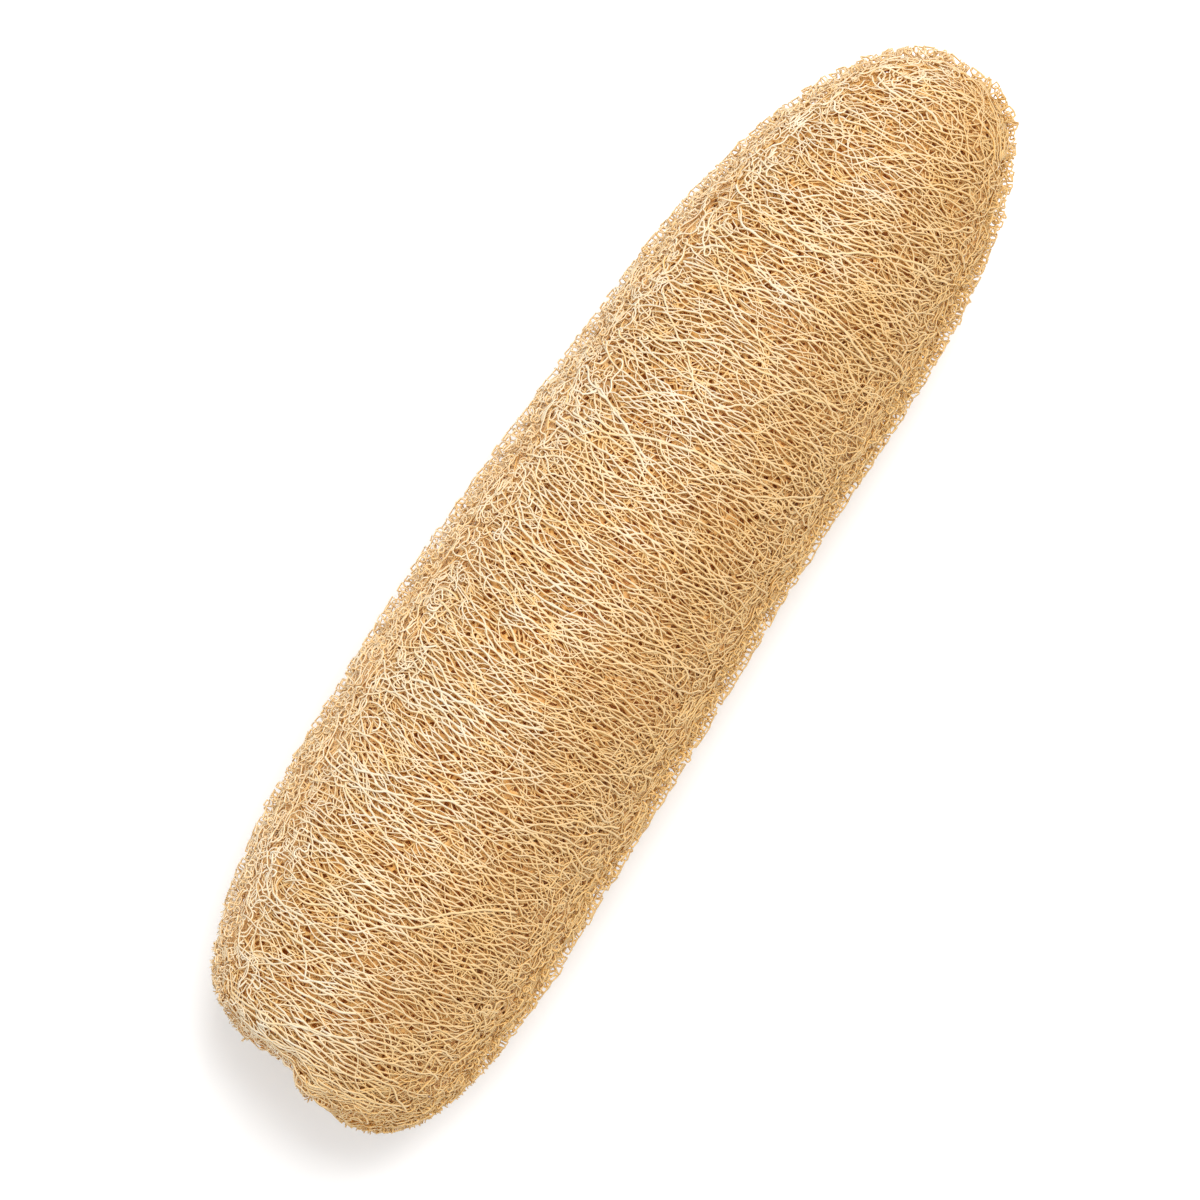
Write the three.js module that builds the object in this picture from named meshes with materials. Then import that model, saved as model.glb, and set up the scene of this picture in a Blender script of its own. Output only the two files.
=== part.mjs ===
// A natural loofah sponge: the dried fibre skeleton of a luffa gourd, lying on its side.
//
// One grown piece, so one mesh. A rounded, slightly bent body carries a raised net of fibres:
// ridges that run round the body, merge, and part again round lens-shaped pits. The net is
// larger than life, and is raised from the body by a formula on a honeycomb lattice.
//
// Millimetres, +Z up. The origin is on the surface that the sponge lies on, under the middle of
// its bounding box. +X runs along the sponge from the cut foot to the round crown.

import * as THREE from "three";

// Body, measured over the outermost fibres
const LENGTH = 310;
const HALF_WIDTH = 42.8; // at the belly, nearer the foot
const CROWN_TAPER = 3.0; // how much less the half width is where the crown starts to round
const TAPER_FROM = 0.35; // shares of the length between which the body tapers
const TAPER_TO = 0.7;
const THICKNESS_RATIO = 0.95; // height of the section over its width
const RIDGE_SHARE = 0.014; // how far the three soft ribs of the fruit stand out of the section
const RIDGE_TURN = 0.5;

// Round ends, each a superellipse turned about the long axis
const FOOT_CAP = { length: 62, along: 1.6, across: 4.66 }; // blunt, where the fruit was cut
const CROWN_CAP = { length: 100, along: 2.0, across: 2.6 };

// The slight bend, as offsets of the long axis towards +Y
const FOOT_OFFSET = -2.2;
const BELLY_OFFSET = 2.0;
const CROWN_OFFSET = -5.2;

// The cut foot: one side is torn shorter, and the three seed channels open in the face
const TORN_STEP = 4.2;
const TORN_FROM = -2;
const TORN_TO = 5;
const TORN_REACH = 40;
const CHANNELS = 3;
const CHANNEL_DEPTH = 12;
const CHANNEL_RADIUS = 11;
const CHANNEL_OUT = 18; // from the long axis to a channel's middle
const CHANNEL_TURN = Math.PI / 2;

// The underside, where the fibres are pressed flat
const SINK = 1.5; // how far the round body is set into the surface
const PRESSED_HEIGHT = 9; // the pits are shallower below this height, and none is left at the surface

// The raised net
const COLUMNS = 16; // lens-shaped pits round the body, an even number
const ROWS = 45; // pits along each column
const MERGED_SHARE = 0.3; // share of a column's pitch where two fibres run as one
const RELIEF = 2.6; // from a pit's floor to the crest of a fibre
const RELIEF_JITTER = 0.4;
const FIBRE_HALF = 1.15; // from a fibre's crest to the edge of the pit's floor
const SHARPEST_TIP = 0.2; // keeps the floor's corner in a narrow pit out of its far side
const FULL_SIZE_RADIUS = 22; // nearer the long axis than this, the fibres are finer
const JITTER = 0.13; // random shift of a crest, as a share of the pitch
const FLOW = 3.4; // height of the slow waves in the run of the fibres
const LONG_WAVE = 37; // length along the body for one radian of each wave
const SHORT_WAVE = 23;
const SHORT_SHARE = 0.4; // the short wave's height over the long one's
const TWIST = 0.06; // how far the columns sway round the body
const TWIST_WAVE = 29;
const STILL_ROWS = 6; // the waves die out over this many rows at each end
const SEED = 41;
const POLE_RADIUS = 7; // the net closes round each tip at about this radius

const PROFILE_STEPS = 160; // points on the outline of each end and of the stretch between

// A seeded stream of numbers from 0 to 1
function randomStream(seed) {
  let state = seed >>> 0;
  return () => {
    state = (state + 0x6d2b79f5) >>> 0;
    let t = Math.imul(state ^ (state >>> 15), 1 | state);
    t = (t + Math.imul(t ^ (t >>> 7), 61 | t)) ^ t;
    return ((t ^ (t >>> 14)) >>> 0) / 4294967296;
  };
}

const { smoothstep, lerp } = THREE.MathUtils;

// Half width of the body at x, before its ends are rounded
function bellyHalfWidth(x) {
  return HALF_WIDTH - CROWN_TAPER * smoothstep(x / LENGTH, TAPER_FROM, TAPER_TO);
}

// Points (x, radius) from the middle of the foot to the tip of the crown
function makeProfile() {
  const points = [];
  for (let i = 0; i <= PROFILE_STEPS; i++) {
    const turn = (Math.PI / 2) * (i / PROFILE_STEPS);
    const along = Math.cos(turn) ** (2 / FOOT_CAP.along);
    const across = Math.sin(turn) ** (2 / FOOT_CAP.across);
    const x = FOOT_CAP.length * (1 - along);
    points.push(new THREE.Vector2(x, bellyHalfWidth(x) * across));
  }
  const crownStart = LENGTH - CROWN_CAP.length;
  for (let i = 1; i < PROFILE_STEPS; i++) {
    const x = lerp(FOOT_CAP.length, crownStart, i / PROFILE_STEPS);
    points.push(new THREE.Vector2(x, bellyHalfWidth(x)));
  }
  for (let i = 0; i <= PROFILE_STEPS; i++) {
    const turn = (Math.PI / 2) * (i / PROFILE_STEPS);
    const along = Math.sin(turn) ** (2 / CROWN_CAP.along);
    const across = Math.cos(turn) ** (2 / CROWN_CAP.across);
    const x = crownStart + CROWN_CAP.length * along;
    points.push(new THREE.Vector2(x, bellyHalfWidth(x) * across));
  }
  return points;
}

const profile = makeProfile();
const reach = [0]; // length along the profile up to each point
for (let i = 1; i < profile.length; i++) {
  reach.push(reach[i - 1] + profile[i].distanceTo(profile[i - 1]));
}

// Point and outward normal of the profile at a length along it
function profileAt(length) {
  let i = 1;
  while (i < profile.length - 1 && reach[i] < length) i++;
  const share = (length - reach[i - 1]) / (reach[i] - reach[i - 1]);
  const point = profile[i - 1].clone().lerp(profile[i], share);
  const run = profile[i].clone().sub(profile[i - 1]).normalize();
  return { x: point.x, radius: point.y, normal: new THREE.Vector2(-run.y, run.x) };
}

// The lengths along the profile where the radius is that of the tips' rings
function netEnds() {
  const wide = profile.map((p) => p.y >= POLE_RADIUS);
  const first = wide.indexOf(true);
  const last = wide.lastIndexOf(true);
  return [reach[first], reach[last]];
}

// Offset of the long axis towards +Y at x: a parabola through the foot, belly and crown
function bend(x) {
  const t = x / LENGTH;
  const foot = 2 * (t - 0.5) * (t - 1) * FOOT_OFFSET;
  const belly = 4 * t * (1 - t) * BELLY_OFFSET;
  const crown = 2 * t * (t - 0.5) * CROWN_OFFSET;
  return foot + belly + crown;
}

// Height of the long axis at x, which keeps the underside straight
function axisHeight(x) {
  return bellyHalfWidth(x) * THICKNESS_RATIO - SINK;
}

// How far the cut face is set back at a point of the foot
function footSetBack(x, y, z) {
  const fade = Math.max(0, 1 - x / TORN_REACH);
  let back = TORN_STEP * smoothstep(y, TORN_FROM, TORN_TO) * fade;
  for (let i = 0; i < CHANNELS; i++) {
    const turn = CHANNEL_TURN + (i * 2 * Math.PI) / CHANNELS;
    const dy = y - CHANNEL_OUT * Math.cos(turn);
    const dz = z - CHANNEL_OUT * Math.sin(turn);
    const share = Math.hypot(dy, dz) / CHANNEL_RADIUS;
    if (x < CHANNEL_DEPTH && share < 1) back += CHANNEL_DEPTH * (1 - share ** 2) ** 2;
  }
  return back;
}

// A point on the body at a length along the profile and a turn round it, lifted off the surface
function bodyPoint(length, turn, lift) {
  const { x, radius, normal } = profileAt(length);
  const swell = radius * (1 + RIDGE_SHARE * Math.cos(3 * turn + RIDGE_TURN));
  const height = swell * Math.sin(turn) * THICKNESS_RATIO + axisHeight(x);
  const free = lift * smoothstep(height, 0, PRESSED_HEIGHT);
  const out = swell + free * normal.y;
  const y = out * Math.cos(turn);
  const z = out * Math.sin(turn) * THICKNESS_RATIO;
  const back = footSetBack(x, y, z);
  const along = x + back + free * normal.x;
  return new THREE.Vector3(along, y + bend(x), Math.max(0, z + axisHeight(x)));
}

// The net's lattice. A column holds pits one above the other, and its neighbours stand half a
// pit higher. Two crest points, left and right, stand between one pit and the next.
const random = randomStream(SEED);
const [netStart, netEnd] = netEnds();
const rowPitch = (netEnd - netStart) / (ROWS + 0.5);
const columnPitch = (2 * Math.PI) / COLUMNS;

// Turn and length of a lattice place, with the slow flow of the fibres added
function flow(turn, length) {
  const room = Math.min(length - netStart, netEnd - length) / (STILL_ROWS * rowPitch);
  const share = smoothstep(room, 0, 1);
  const long = Math.sin(turn + length / LONG_WAVE);
  const short = SHORT_SHARE * Math.sin(2 * turn - length / SHORT_WAVE);
  return {
    turn: turn + TWIST * share * Math.sin(length / TWIST_WAVE),
    length: length + FLOW * share * (long + short),
  };
}

// Crest points of the lattice: crest[column][place][side]
function makeCrests() {
  const crests = [];
  for (let column = 0; column < COLUMNS; column++) {
    const places = [];
    for (let place = 0; place <= ROWS; place++) {
      const edge = place === 0 || place === ROWS ? 0 : 1;
      const length = netStart + (place + (column % 2) / 2) * rowPitch;
      places.push(
        [-1, 1].map((side) => {
          const half = (side * MERGED_SHARE * columnPitch) / 2;
          const shiftTurn = edge * (random() - 0.5) * 2 * JITTER * columnPitch;
          const shiftLength = edge * (random() - 0.5) * 2 * JITTER * rowPitch;
          return flow(column * columnPitch + half + shiftTurn, length + shiftLength);
        }),
      );
    }
    crests.push(places);
  }
  return crests;
}

// The corners of a pit's floor: its rim, unrolled flat, with each side moved inwards
function insetRim(rim, radius, inset) {
  const flat = rim.map((crest) => new THREE.Vector2(crest.turn * radius, crest.length));
  const inward = flat.map((corner, i) => {
    const run = flat[(i + 1) % flat.length].clone().sub(corner).normalize();
    return new THREE.Vector2(-run.y, run.x);
  });
  return flat.map((corner, i) => {
    const before = inward[(i + inward.length - 1) % inward.length];
    const after = inward[i];
    const reachIn = inset / Math.max(SHARPEST_TIP, 1 + before.dot(after));
    const place = corner.clone().add(before.clone().add(after).multiplyScalar(reachIn));
    return { turn: place.x / radius, length: place.y };
  });
}

function makeNet() {
  const crests = makeCrests();
  const positions = [];
  const faces = [];
  const addPoint = (point) => positions.push(point.x, point.y, point.z) / 3 - 1;

  const crestIndex = crests.map((places) =>
    places.map((pair) => pair.map((place) => addPoint(bodyPoint(place.length, place.turn, 0)))),
  );

  // A crest of the next or last column, with its turn kept near this column's
  const lookUp = (column, place, side) => {
    const wrapped = (column + COLUMNS) % COLUMNS;
    const around = ((column - wrapped) / COLUMNS) * 2 * Math.PI;
    const crest = crests[wrapped][place][side];
    return {
      index: crestIndex[wrapped][place][side],
      turn: crest.turn + around,
      length: crest.length,
    };
  };

  for (let column = 0; column < COLUMNS; column++) {
    for (let row = 0; row < ROWS; row++) {
      // The pit's rim in order round it, seen from outside
      const tip = row + (column % 2);
      const rim = [
        lookUp(column - 1, tip, 1),
        lookUp(column, row, 0),
        lookUp(column, row, 1),
        lookUp(column + 1, tip, 0),
        lookUp(column, row + 1, 1),
        lookUp(column, row + 1, 0),
      ];
      const middle = rim.reduce((sum, crest) => sum + crest.length, 0) / rim.length;
      const { radius } = profileAt(middle);
      const size = Math.min(1, radius / FULL_SIZE_RADIUS);
      const depth = -(RELIEF + (random() - 0.5) * 2 * RELIEF_JITTER) * size;
      const floor = insetRim(rim, radius, FIBRE_HALF * size).map((place) =>
        addPoint(bodyPoint(place.length, place.turn, depth)),
      );
      for (let i = 0; i < rim.length; i++) {
        const j = (i + 1) % rim.length;
        faces.push([rim[i].index, rim[j].index, floor[i]], [rim[j].index, floor[j], floor[i]]);
      }
      faces.push([floor[0], floor[1], floor[5]], [floor[1], floor[4], floor[5]]);
      faces.push([floor[1], floor[2], floor[4]], [floor[2], floor[3], floor[4]]);
    }
  }

  // The tips, each closed by a fan round its own middle
  const footTip = addPoint(bodyPoint(0, 0, 0));
  const crownTip = addPoint(bodyPoint(reach[reach.length - 1], 0, 0));
  for (let column = 0; column < COLUMNS; column++) {
    const next = (column + 1) % COLUMNS;
    const foot = (c, side) => crestIndex[c][0][side];
    const crown = (c, side) => crestIndex[c][ROWS][side];
    faces.push([foot(column, 1), foot(column, 0), footTip]);
    faces.push([foot(next, 0), foot(column, 1), footTip]);
    faces.push([crown(column, 0), crown(column, 1), crownTip]);
    faces.push([crown(column, 1), crown(next, 0), crownTip]);
  }

  const geometry = new THREE.BufferGeometry();
  geometry.setAttribute("position", new THREE.Float32BufferAttribute(positions, 3));
  geometry.setIndex(faces.flat());
  geometry.computeVertexNormals();
  return geometry;
}

const fibre = new THREE.MeshStandardMaterial({
  color: new THREE.Color(0.87, 0.7, 0.44),
  roughness: 0.85,
  metalness: 0,
  flatShading: true,
});

const net = makeNet();
net.computeBoundingBox();
const { min, max } = net.boundingBox;
const sponge = new THREE.Mesh(net, fibre);
sponge.name = "loofah";
sponge.position.set(-(min.x + max.x) / 2, -(min.y + max.y) / 2, -min.z);

const part = new THREE.Group();
part.add(sponge);

export default part;
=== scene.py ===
"""A natural loofah sponge: the dried fibre skeleton of a luffa gourd, lying on its side.

The sponge is made of fibres that lie on one rounded, slightly bent body. Long fibres run round
the body and cling together where they pass close by. Under them lie a finer layer and a web of
tissue with a pit and a hole in each cell. A lace of small rings stands on edge along the flanks
and round both ends, and loose curls and cut ends stand out of the skin.

Metres, +Z up. The origin is on the surface that the sponge lies on, under the middle of the
sponge. +X runs from the cut foot to the round crown.
"""

import sys
import logging
import math
from dataclasses import dataclass, field
from enum import Enum

import bpy
import numpy as np
from mathutils import Euler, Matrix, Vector
from mathutils.geometry import delaunay_2d_cdt


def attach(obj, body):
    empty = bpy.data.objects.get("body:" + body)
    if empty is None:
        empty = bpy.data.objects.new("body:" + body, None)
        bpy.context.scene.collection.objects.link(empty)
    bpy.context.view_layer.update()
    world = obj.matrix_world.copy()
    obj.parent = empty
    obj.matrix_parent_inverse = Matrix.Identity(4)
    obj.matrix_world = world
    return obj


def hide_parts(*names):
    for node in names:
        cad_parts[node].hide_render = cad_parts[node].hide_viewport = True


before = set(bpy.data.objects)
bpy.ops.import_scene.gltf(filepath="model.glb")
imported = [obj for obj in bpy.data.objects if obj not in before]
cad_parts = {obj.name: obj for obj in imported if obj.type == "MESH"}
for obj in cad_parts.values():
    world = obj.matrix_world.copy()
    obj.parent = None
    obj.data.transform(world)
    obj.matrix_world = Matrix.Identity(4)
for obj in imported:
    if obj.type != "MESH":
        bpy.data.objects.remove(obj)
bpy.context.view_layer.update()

LOG = logging.getLogger("loofah")
MM = 0.001
TAU = 2 * math.pi
NODE = "loofah"
BODY = "root"
# Below this radius a turn round the body is taken as if the body were this thick.
LEAST_RADIUS = 3 * MM
# How close two corners of a triangulation may lie before they are taken as one.
JOIN_DISTANCE = 1e-9
# The colour sockets of a Mix node, by number because its sockets share their names.
MIX_SHARE, MIX_FROM, MIX_TO, MIX_RESULT = 0, 6, 7, 2
# Keeps a division finite where a sum of weights may be 0.
TINY = 1e-9
# From this share of the profile's length on, the skin counts as the crown.
CROWN_FROM = 0.8
# Rings and curls stay this far from both tips of the profile.
TIP_GAP = 0.5 * MM
# The thinnest and the thickest ring or curl, against their mean.
THICKNESS_RANGE = (0.85, 1.2)


def smoothstep(value: np.ndarray, low: float, high: float) -> np.ndarray:
    """A smooth rise from 0 at low to 1 at high.

    Args:
        value: The numbers to map.
        low: Where the rise starts.
        high: Where the rise ends.

    Returns:
        One share for each number.
    """
    share = np.clip((np.asarray(value, float) - low) / (high - low), 0, 1)
    return share * share * (3 - 2 * share)


def wrap(turn: np.ndarray) -> np.ndarray:
    """The same turn, brought between -pi and pi."""
    return (turn + math.pi) % TAU - math.pi


def running_sum(rate: np.ndarray, along: np.ndarray) -> np.ndarray:
    """The integral of a rate from the first place to each place.

    Args:
        rate: The rate at each place.
        along: The places, in rising order.

    Returns:
        One sum for each place, the first of them 0.
    """
    steps = np.diff(along) * (rate[1:] + rate[:-1]) / 2
    return np.concatenate([[0], np.cumsum(steps)])


class Ripple:
    """A smooth random field of space, made of a few sine waves."""

    # The slowest and the fastest wave, against the mean.
    RATE_RANGE = (0.7, 1.5)

    def __init__(self, rng: np.random.Generator, wavelength: float, waves: int = 9) -> None:
        """Draws the waves.

        Args:
            rng: The seeded source of random numbers.
            wavelength: The mean length of a wave, in metres.
            waves: How many waves are added up.
        """
        heading = rng.normal(size=(waves, 3))
        heading /= np.linalg.norm(heading, axis=1)[:, None]
        spread = rng.uniform(*self.RATE_RANGE, size=(waves, 1))
        self.rate = heading * spread * TAU / wavelength
        self.phase = rng.uniform(0, TAU, size=waves)

    def at(self, points: np.ndarray) -> np.ndarray:
        """The field at each point, with a mean of 0 and a spread of about 0.7.

        Args:
            points: Places in space, one row each.

        Returns:
            One value for each point.
        """
        return np.sin(points @ self.rate.T + self.phase).sum(axis=1) / math.sqrt(len(self.phase))


@dataclass(frozen=True)
class Cap:
    """A round end of the body: a superellipse turned about the long axis.

    Its outline is where x ** along + r ** across is 1, with x and r as shares of the length and
    the radius.
    """

    length: float
    along: float
    across: float


@dataclass
class SpongeBody:
    """The form that every layer follows: a round-ended, slightly bent body with a torn foot.

    A place on it is a turn round the long axis and a reach, the length along the profile from the
    middle of the foot. The channels are the mouths of the seed channels in the cut face.
    """

    length: float = 310 * MM
    half_width: float = 42.8 * MM
    crown_taper: float = 3.0 * MM
    taper_from: float = 0.35
    taper_to: float = 0.7
    thickness_ratio: float = 0.95
    ridge_share: float = 0.014
    ridge_turn: float = 0.5
    foot_cap: Cap = Cap(62 * MM, 1.6, 4.66)
    crown_cap: Cap = Cap(100 * MM, 2.0, 2.6)
    foot_offset: float = -2.2 * MM
    belly_offset: float = 2.0 * MM
    crown_offset: float = -5.2 * MM
    torn_step: float = 4.2 * MM
    torn_from: float = -2 * MM
    torn_to: float = 5 * MM
    torn_reach: float = 13 * MM
    channels: int = 3
    channel_depth: float = 12 * MM
    channel_radius: float = 9 * MM
    channel_out: float = 15 * MM
    channel_turn: float = math.pi / 2
    sink: float = 1.5 * MM
    ragged: float = 0.8 * MM
    ragged_wave: float = 5 * MM
    ragged_reach: float = 9 * MM
    fringe_width: float = 2.2 * MM
    fringe_patch: float = 14 * MM
    fringe_mean: float = 0.85
    fringe_spread: float = 0.55
    fringe_least: float = 0.2
    fringe_most: float = 1.3
    fringe_foot_share: float = 0.35
    fringe_sharpness: int = 4
    fringe_foot: float = 25 * MM
    seed: int = 3
    profile_steps: int = 400
    box_turns: int = 180
    box_step: int = 4

    def __post_init__(self) -> None:
        """Traces the profile and finds the middle of the body's box."""
        self.profile_x, self.profile_r = self._profile()
        run_x, run_r = np.gradient(self.profile_x), np.gradient(self.profile_r)
        size = np.hypot(run_x, run_r)
        self.normal_x, self.normal_r = -run_r / size, run_x / size
        rng = np.random.default_rng(self.seed)
        self.tears = Ripple(rng, self.ragged_wave)
        self.fringe_patches = Ripple(rng, self.fringe_patch)
        steps = np.hypot(np.diff(self.profile_x), np.diff(self.profile_r))
        self.reach = np.concatenate([[0], np.cumsum(steps)])
        self.middle = np.zeros(3)
        around = np.linspace(0, TAU, self.box_turns)
        turns, reaches = np.meshgrid(around, self.reach[:: self.box_step])
        skin = self.points(reaches.ravel(), turns.ravel(), 0)
        middle = (skin.min(axis=0) + skin.max(axis=0)) / 2
        self.middle = np.array([middle[0], middle[1], 0])

    def belly_half_width(self, x: np.ndarray) -> np.ndarray:
        """Half width of the body at x, before its ends are rounded."""
        share = smoothstep(x / self.length, self.taper_from, self.taper_to)
        return self.half_width - self.crown_taper * share

    def _profile(self) -> tuple[np.ndarray, np.ndarray]:
        """Draws the outline from the middle of the foot to the tip of the crown.

        Returns:
            The distance from the foot and the radius of each of its points.
        """
        turn = np.linspace(0, math.pi / 2, self.profile_steps)
        foot_x = self.foot_cap.length * (1 - np.cos(turn) ** (2 / self.foot_cap.along))
        foot_r = np.sin(turn) ** (2 / self.foot_cap.across)
        crown_start = self.length - self.crown_cap.length
        side_x = np.linspace(self.foot_cap.length, crown_start, self.profile_steps)[1:-1]
        crown_x = crown_start + self.crown_cap.length * np.sin(turn) ** (2 / self.crown_cap.along)
        crown_r = np.abs(np.cos(turn)) ** (2 / self.crown_cap.across)
        x = np.concatenate([foot_x, side_x, crown_x])
        share = np.concatenate([foot_r, np.ones(len(side_x)), crown_r])
        return x, self.belly_half_width(x) * share

    def radius_at(self, reach: np.ndarray) -> np.ndarray:
        """Radius of the profile at a length along it."""
        return np.interp(reach, self.reach, self.profile_r)

    def along_at(self, reach: np.ndarray) -> np.ndarray:
        """Distance from the foot's end at a length along the profile."""
        return np.interp(reach, self.reach, self.profile_x)

    def flank_share(self, reach: np.ndarray, turn: np.ndarray) -> np.ndarray:
        """How far a place faces sideways: 0 on top and underneath, 1 on a flank and at a tip."""
        level = np.sin(turn) * np.interp(reach, self.reach, self.normal_r)
        return 1 - level**2

    def fringe_depth(self, reach: np.ndarray, turn: np.ndarray) -> np.ndarray:
        """How far the net is set back under the fringe of rings.

        Args:
            reach: Lengths along the profile.
            turn: Turns round the long axis.

        Returns:
            The depth at each place, most on a flank and in some patches, and less at the foot.
        """
        here = np.stack([self.along_at(reach), np.cos(turn) * MM, 0 * turn], axis=-1)
        patch = self.fringe_mean + self.fringe_spread * self.fringe_patches.at(here)
        patch = np.clip(patch, self.fringe_least, self.fringe_most)
        past_foot = smoothstep(self.along_at(reach), 0, self.fringe_foot)
        foot = self.fringe_foot_share + (1 - self.fringe_foot_share) * past_foot
        return self.fringe_width * patch * foot * self.flank_share(reach, turn) ** self.fringe_sharpness

    def bend(self, x: np.ndarray) -> np.ndarray:
        """How far the long axis is set off, on a parabola through three places.

        Args:
            x: Distances from the foot.

        Returns:
            The offset towards +Y at each of them.
        """
        t = x / self.length
        foot = 2 * (t - 0.5) * (t - 1) * self.foot_offset
        belly = 4 * t * (1 - t) * self.belly_offset
        crown = 2 * t * (t - 0.5) * self.crown_offset
        return foot + belly + crown

    def foot_set_back(self, x: np.ndarray, y: np.ndarray, z: np.ndarray) -> np.ndarray:
        """How far the cut face is set back at points of the foot.

        Args:
            x: Places along the body.
            y: Places across it, from the long axis.
            z: Heights from the long axis.

        Returns:
            The set-back of each point, towards the crown.
        """
        fade = np.clip(1 - x / self.torn_reach, 0, None)
        back = self.torn_step * smoothstep(y, self.torn_from, self.torn_to) * fade
        for i in range(self.channels):
            turn = self.channel_turn + i * TAU / self.channels
            away_y = y - self.channel_out * math.cos(turn)
            away_z = z - self.channel_out * math.sin(turn)
            share = np.clip(np.hypot(away_y, away_z) / self.channel_radius, 0, 1)
            bowl = self.channel_depth * (1 - share**2) ** 2
            back = back + np.where(x < self.channel_depth, bowl, 0)
        rough = self.tears.at(np.stack([np.zeros_like(y), y, z], axis=-1))
        return back + self.ragged * rough * np.clip(1 - x / self.ragged_reach, 0, 1)

    def points(self, reach: np.ndarray, turn: np.ndarray, lift: np.ndarray) -> np.ndarray:
        """Places on the body, or on a shell above or under its skin.

        Args:
            reach: Lengths along the profile.
            turn: Turns round the long axis.
            lift: Heights above the skin, negative under it.

        Returns:
            One point for each place, in the row's frame.
        """
        x = np.interp(reach, self.reach, self.profile_x)
        normal_x = np.interp(reach, self.reach, self.normal_x)
        normal_r = np.interp(reach, self.reach, self.normal_r)
        swell = self.radius_at(reach) * (1 + self.ridge_share * np.cos(3 * turn + self.ridge_turn))
        out = np.maximum(swell + lift * normal_r, 0)
        y = out * np.cos(turn)
        z = out * np.sin(turn) * self.thickness_ratio
        height = self.belly_half_width(x) * self.thickness_ratio - self.sink
        along = x + self.foot_set_back(x, y, z) + lift * normal_x
        return np.stack([along, y + self.bend(x), z + height], axis=1) - self.middle


def add_node(
    tree: bpy.types.NodeTree, kind: str, inputs: dict[str | int, object], **options: object
) -> bpy.types.Node:
    """Adds a node to a tree.

    Args:
        tree: The tree.
        kind: The node's type.
        inputs: A value, or a socket to link, for each input that is set, by its name or number.
        options: The node's other settings.

    Returns:
        The node.
    """
    node = tree.nodes.new(kind)
    for name, value in options.items():
        setattr(node, name, value)
    for name, value in inputs.items():
        if isinstance(value, bpy.types.NodeSocket):
            tree.links.new(value, node.inputs[name])
        else:
            node.inputs[name].default_value = value
    return node


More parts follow.
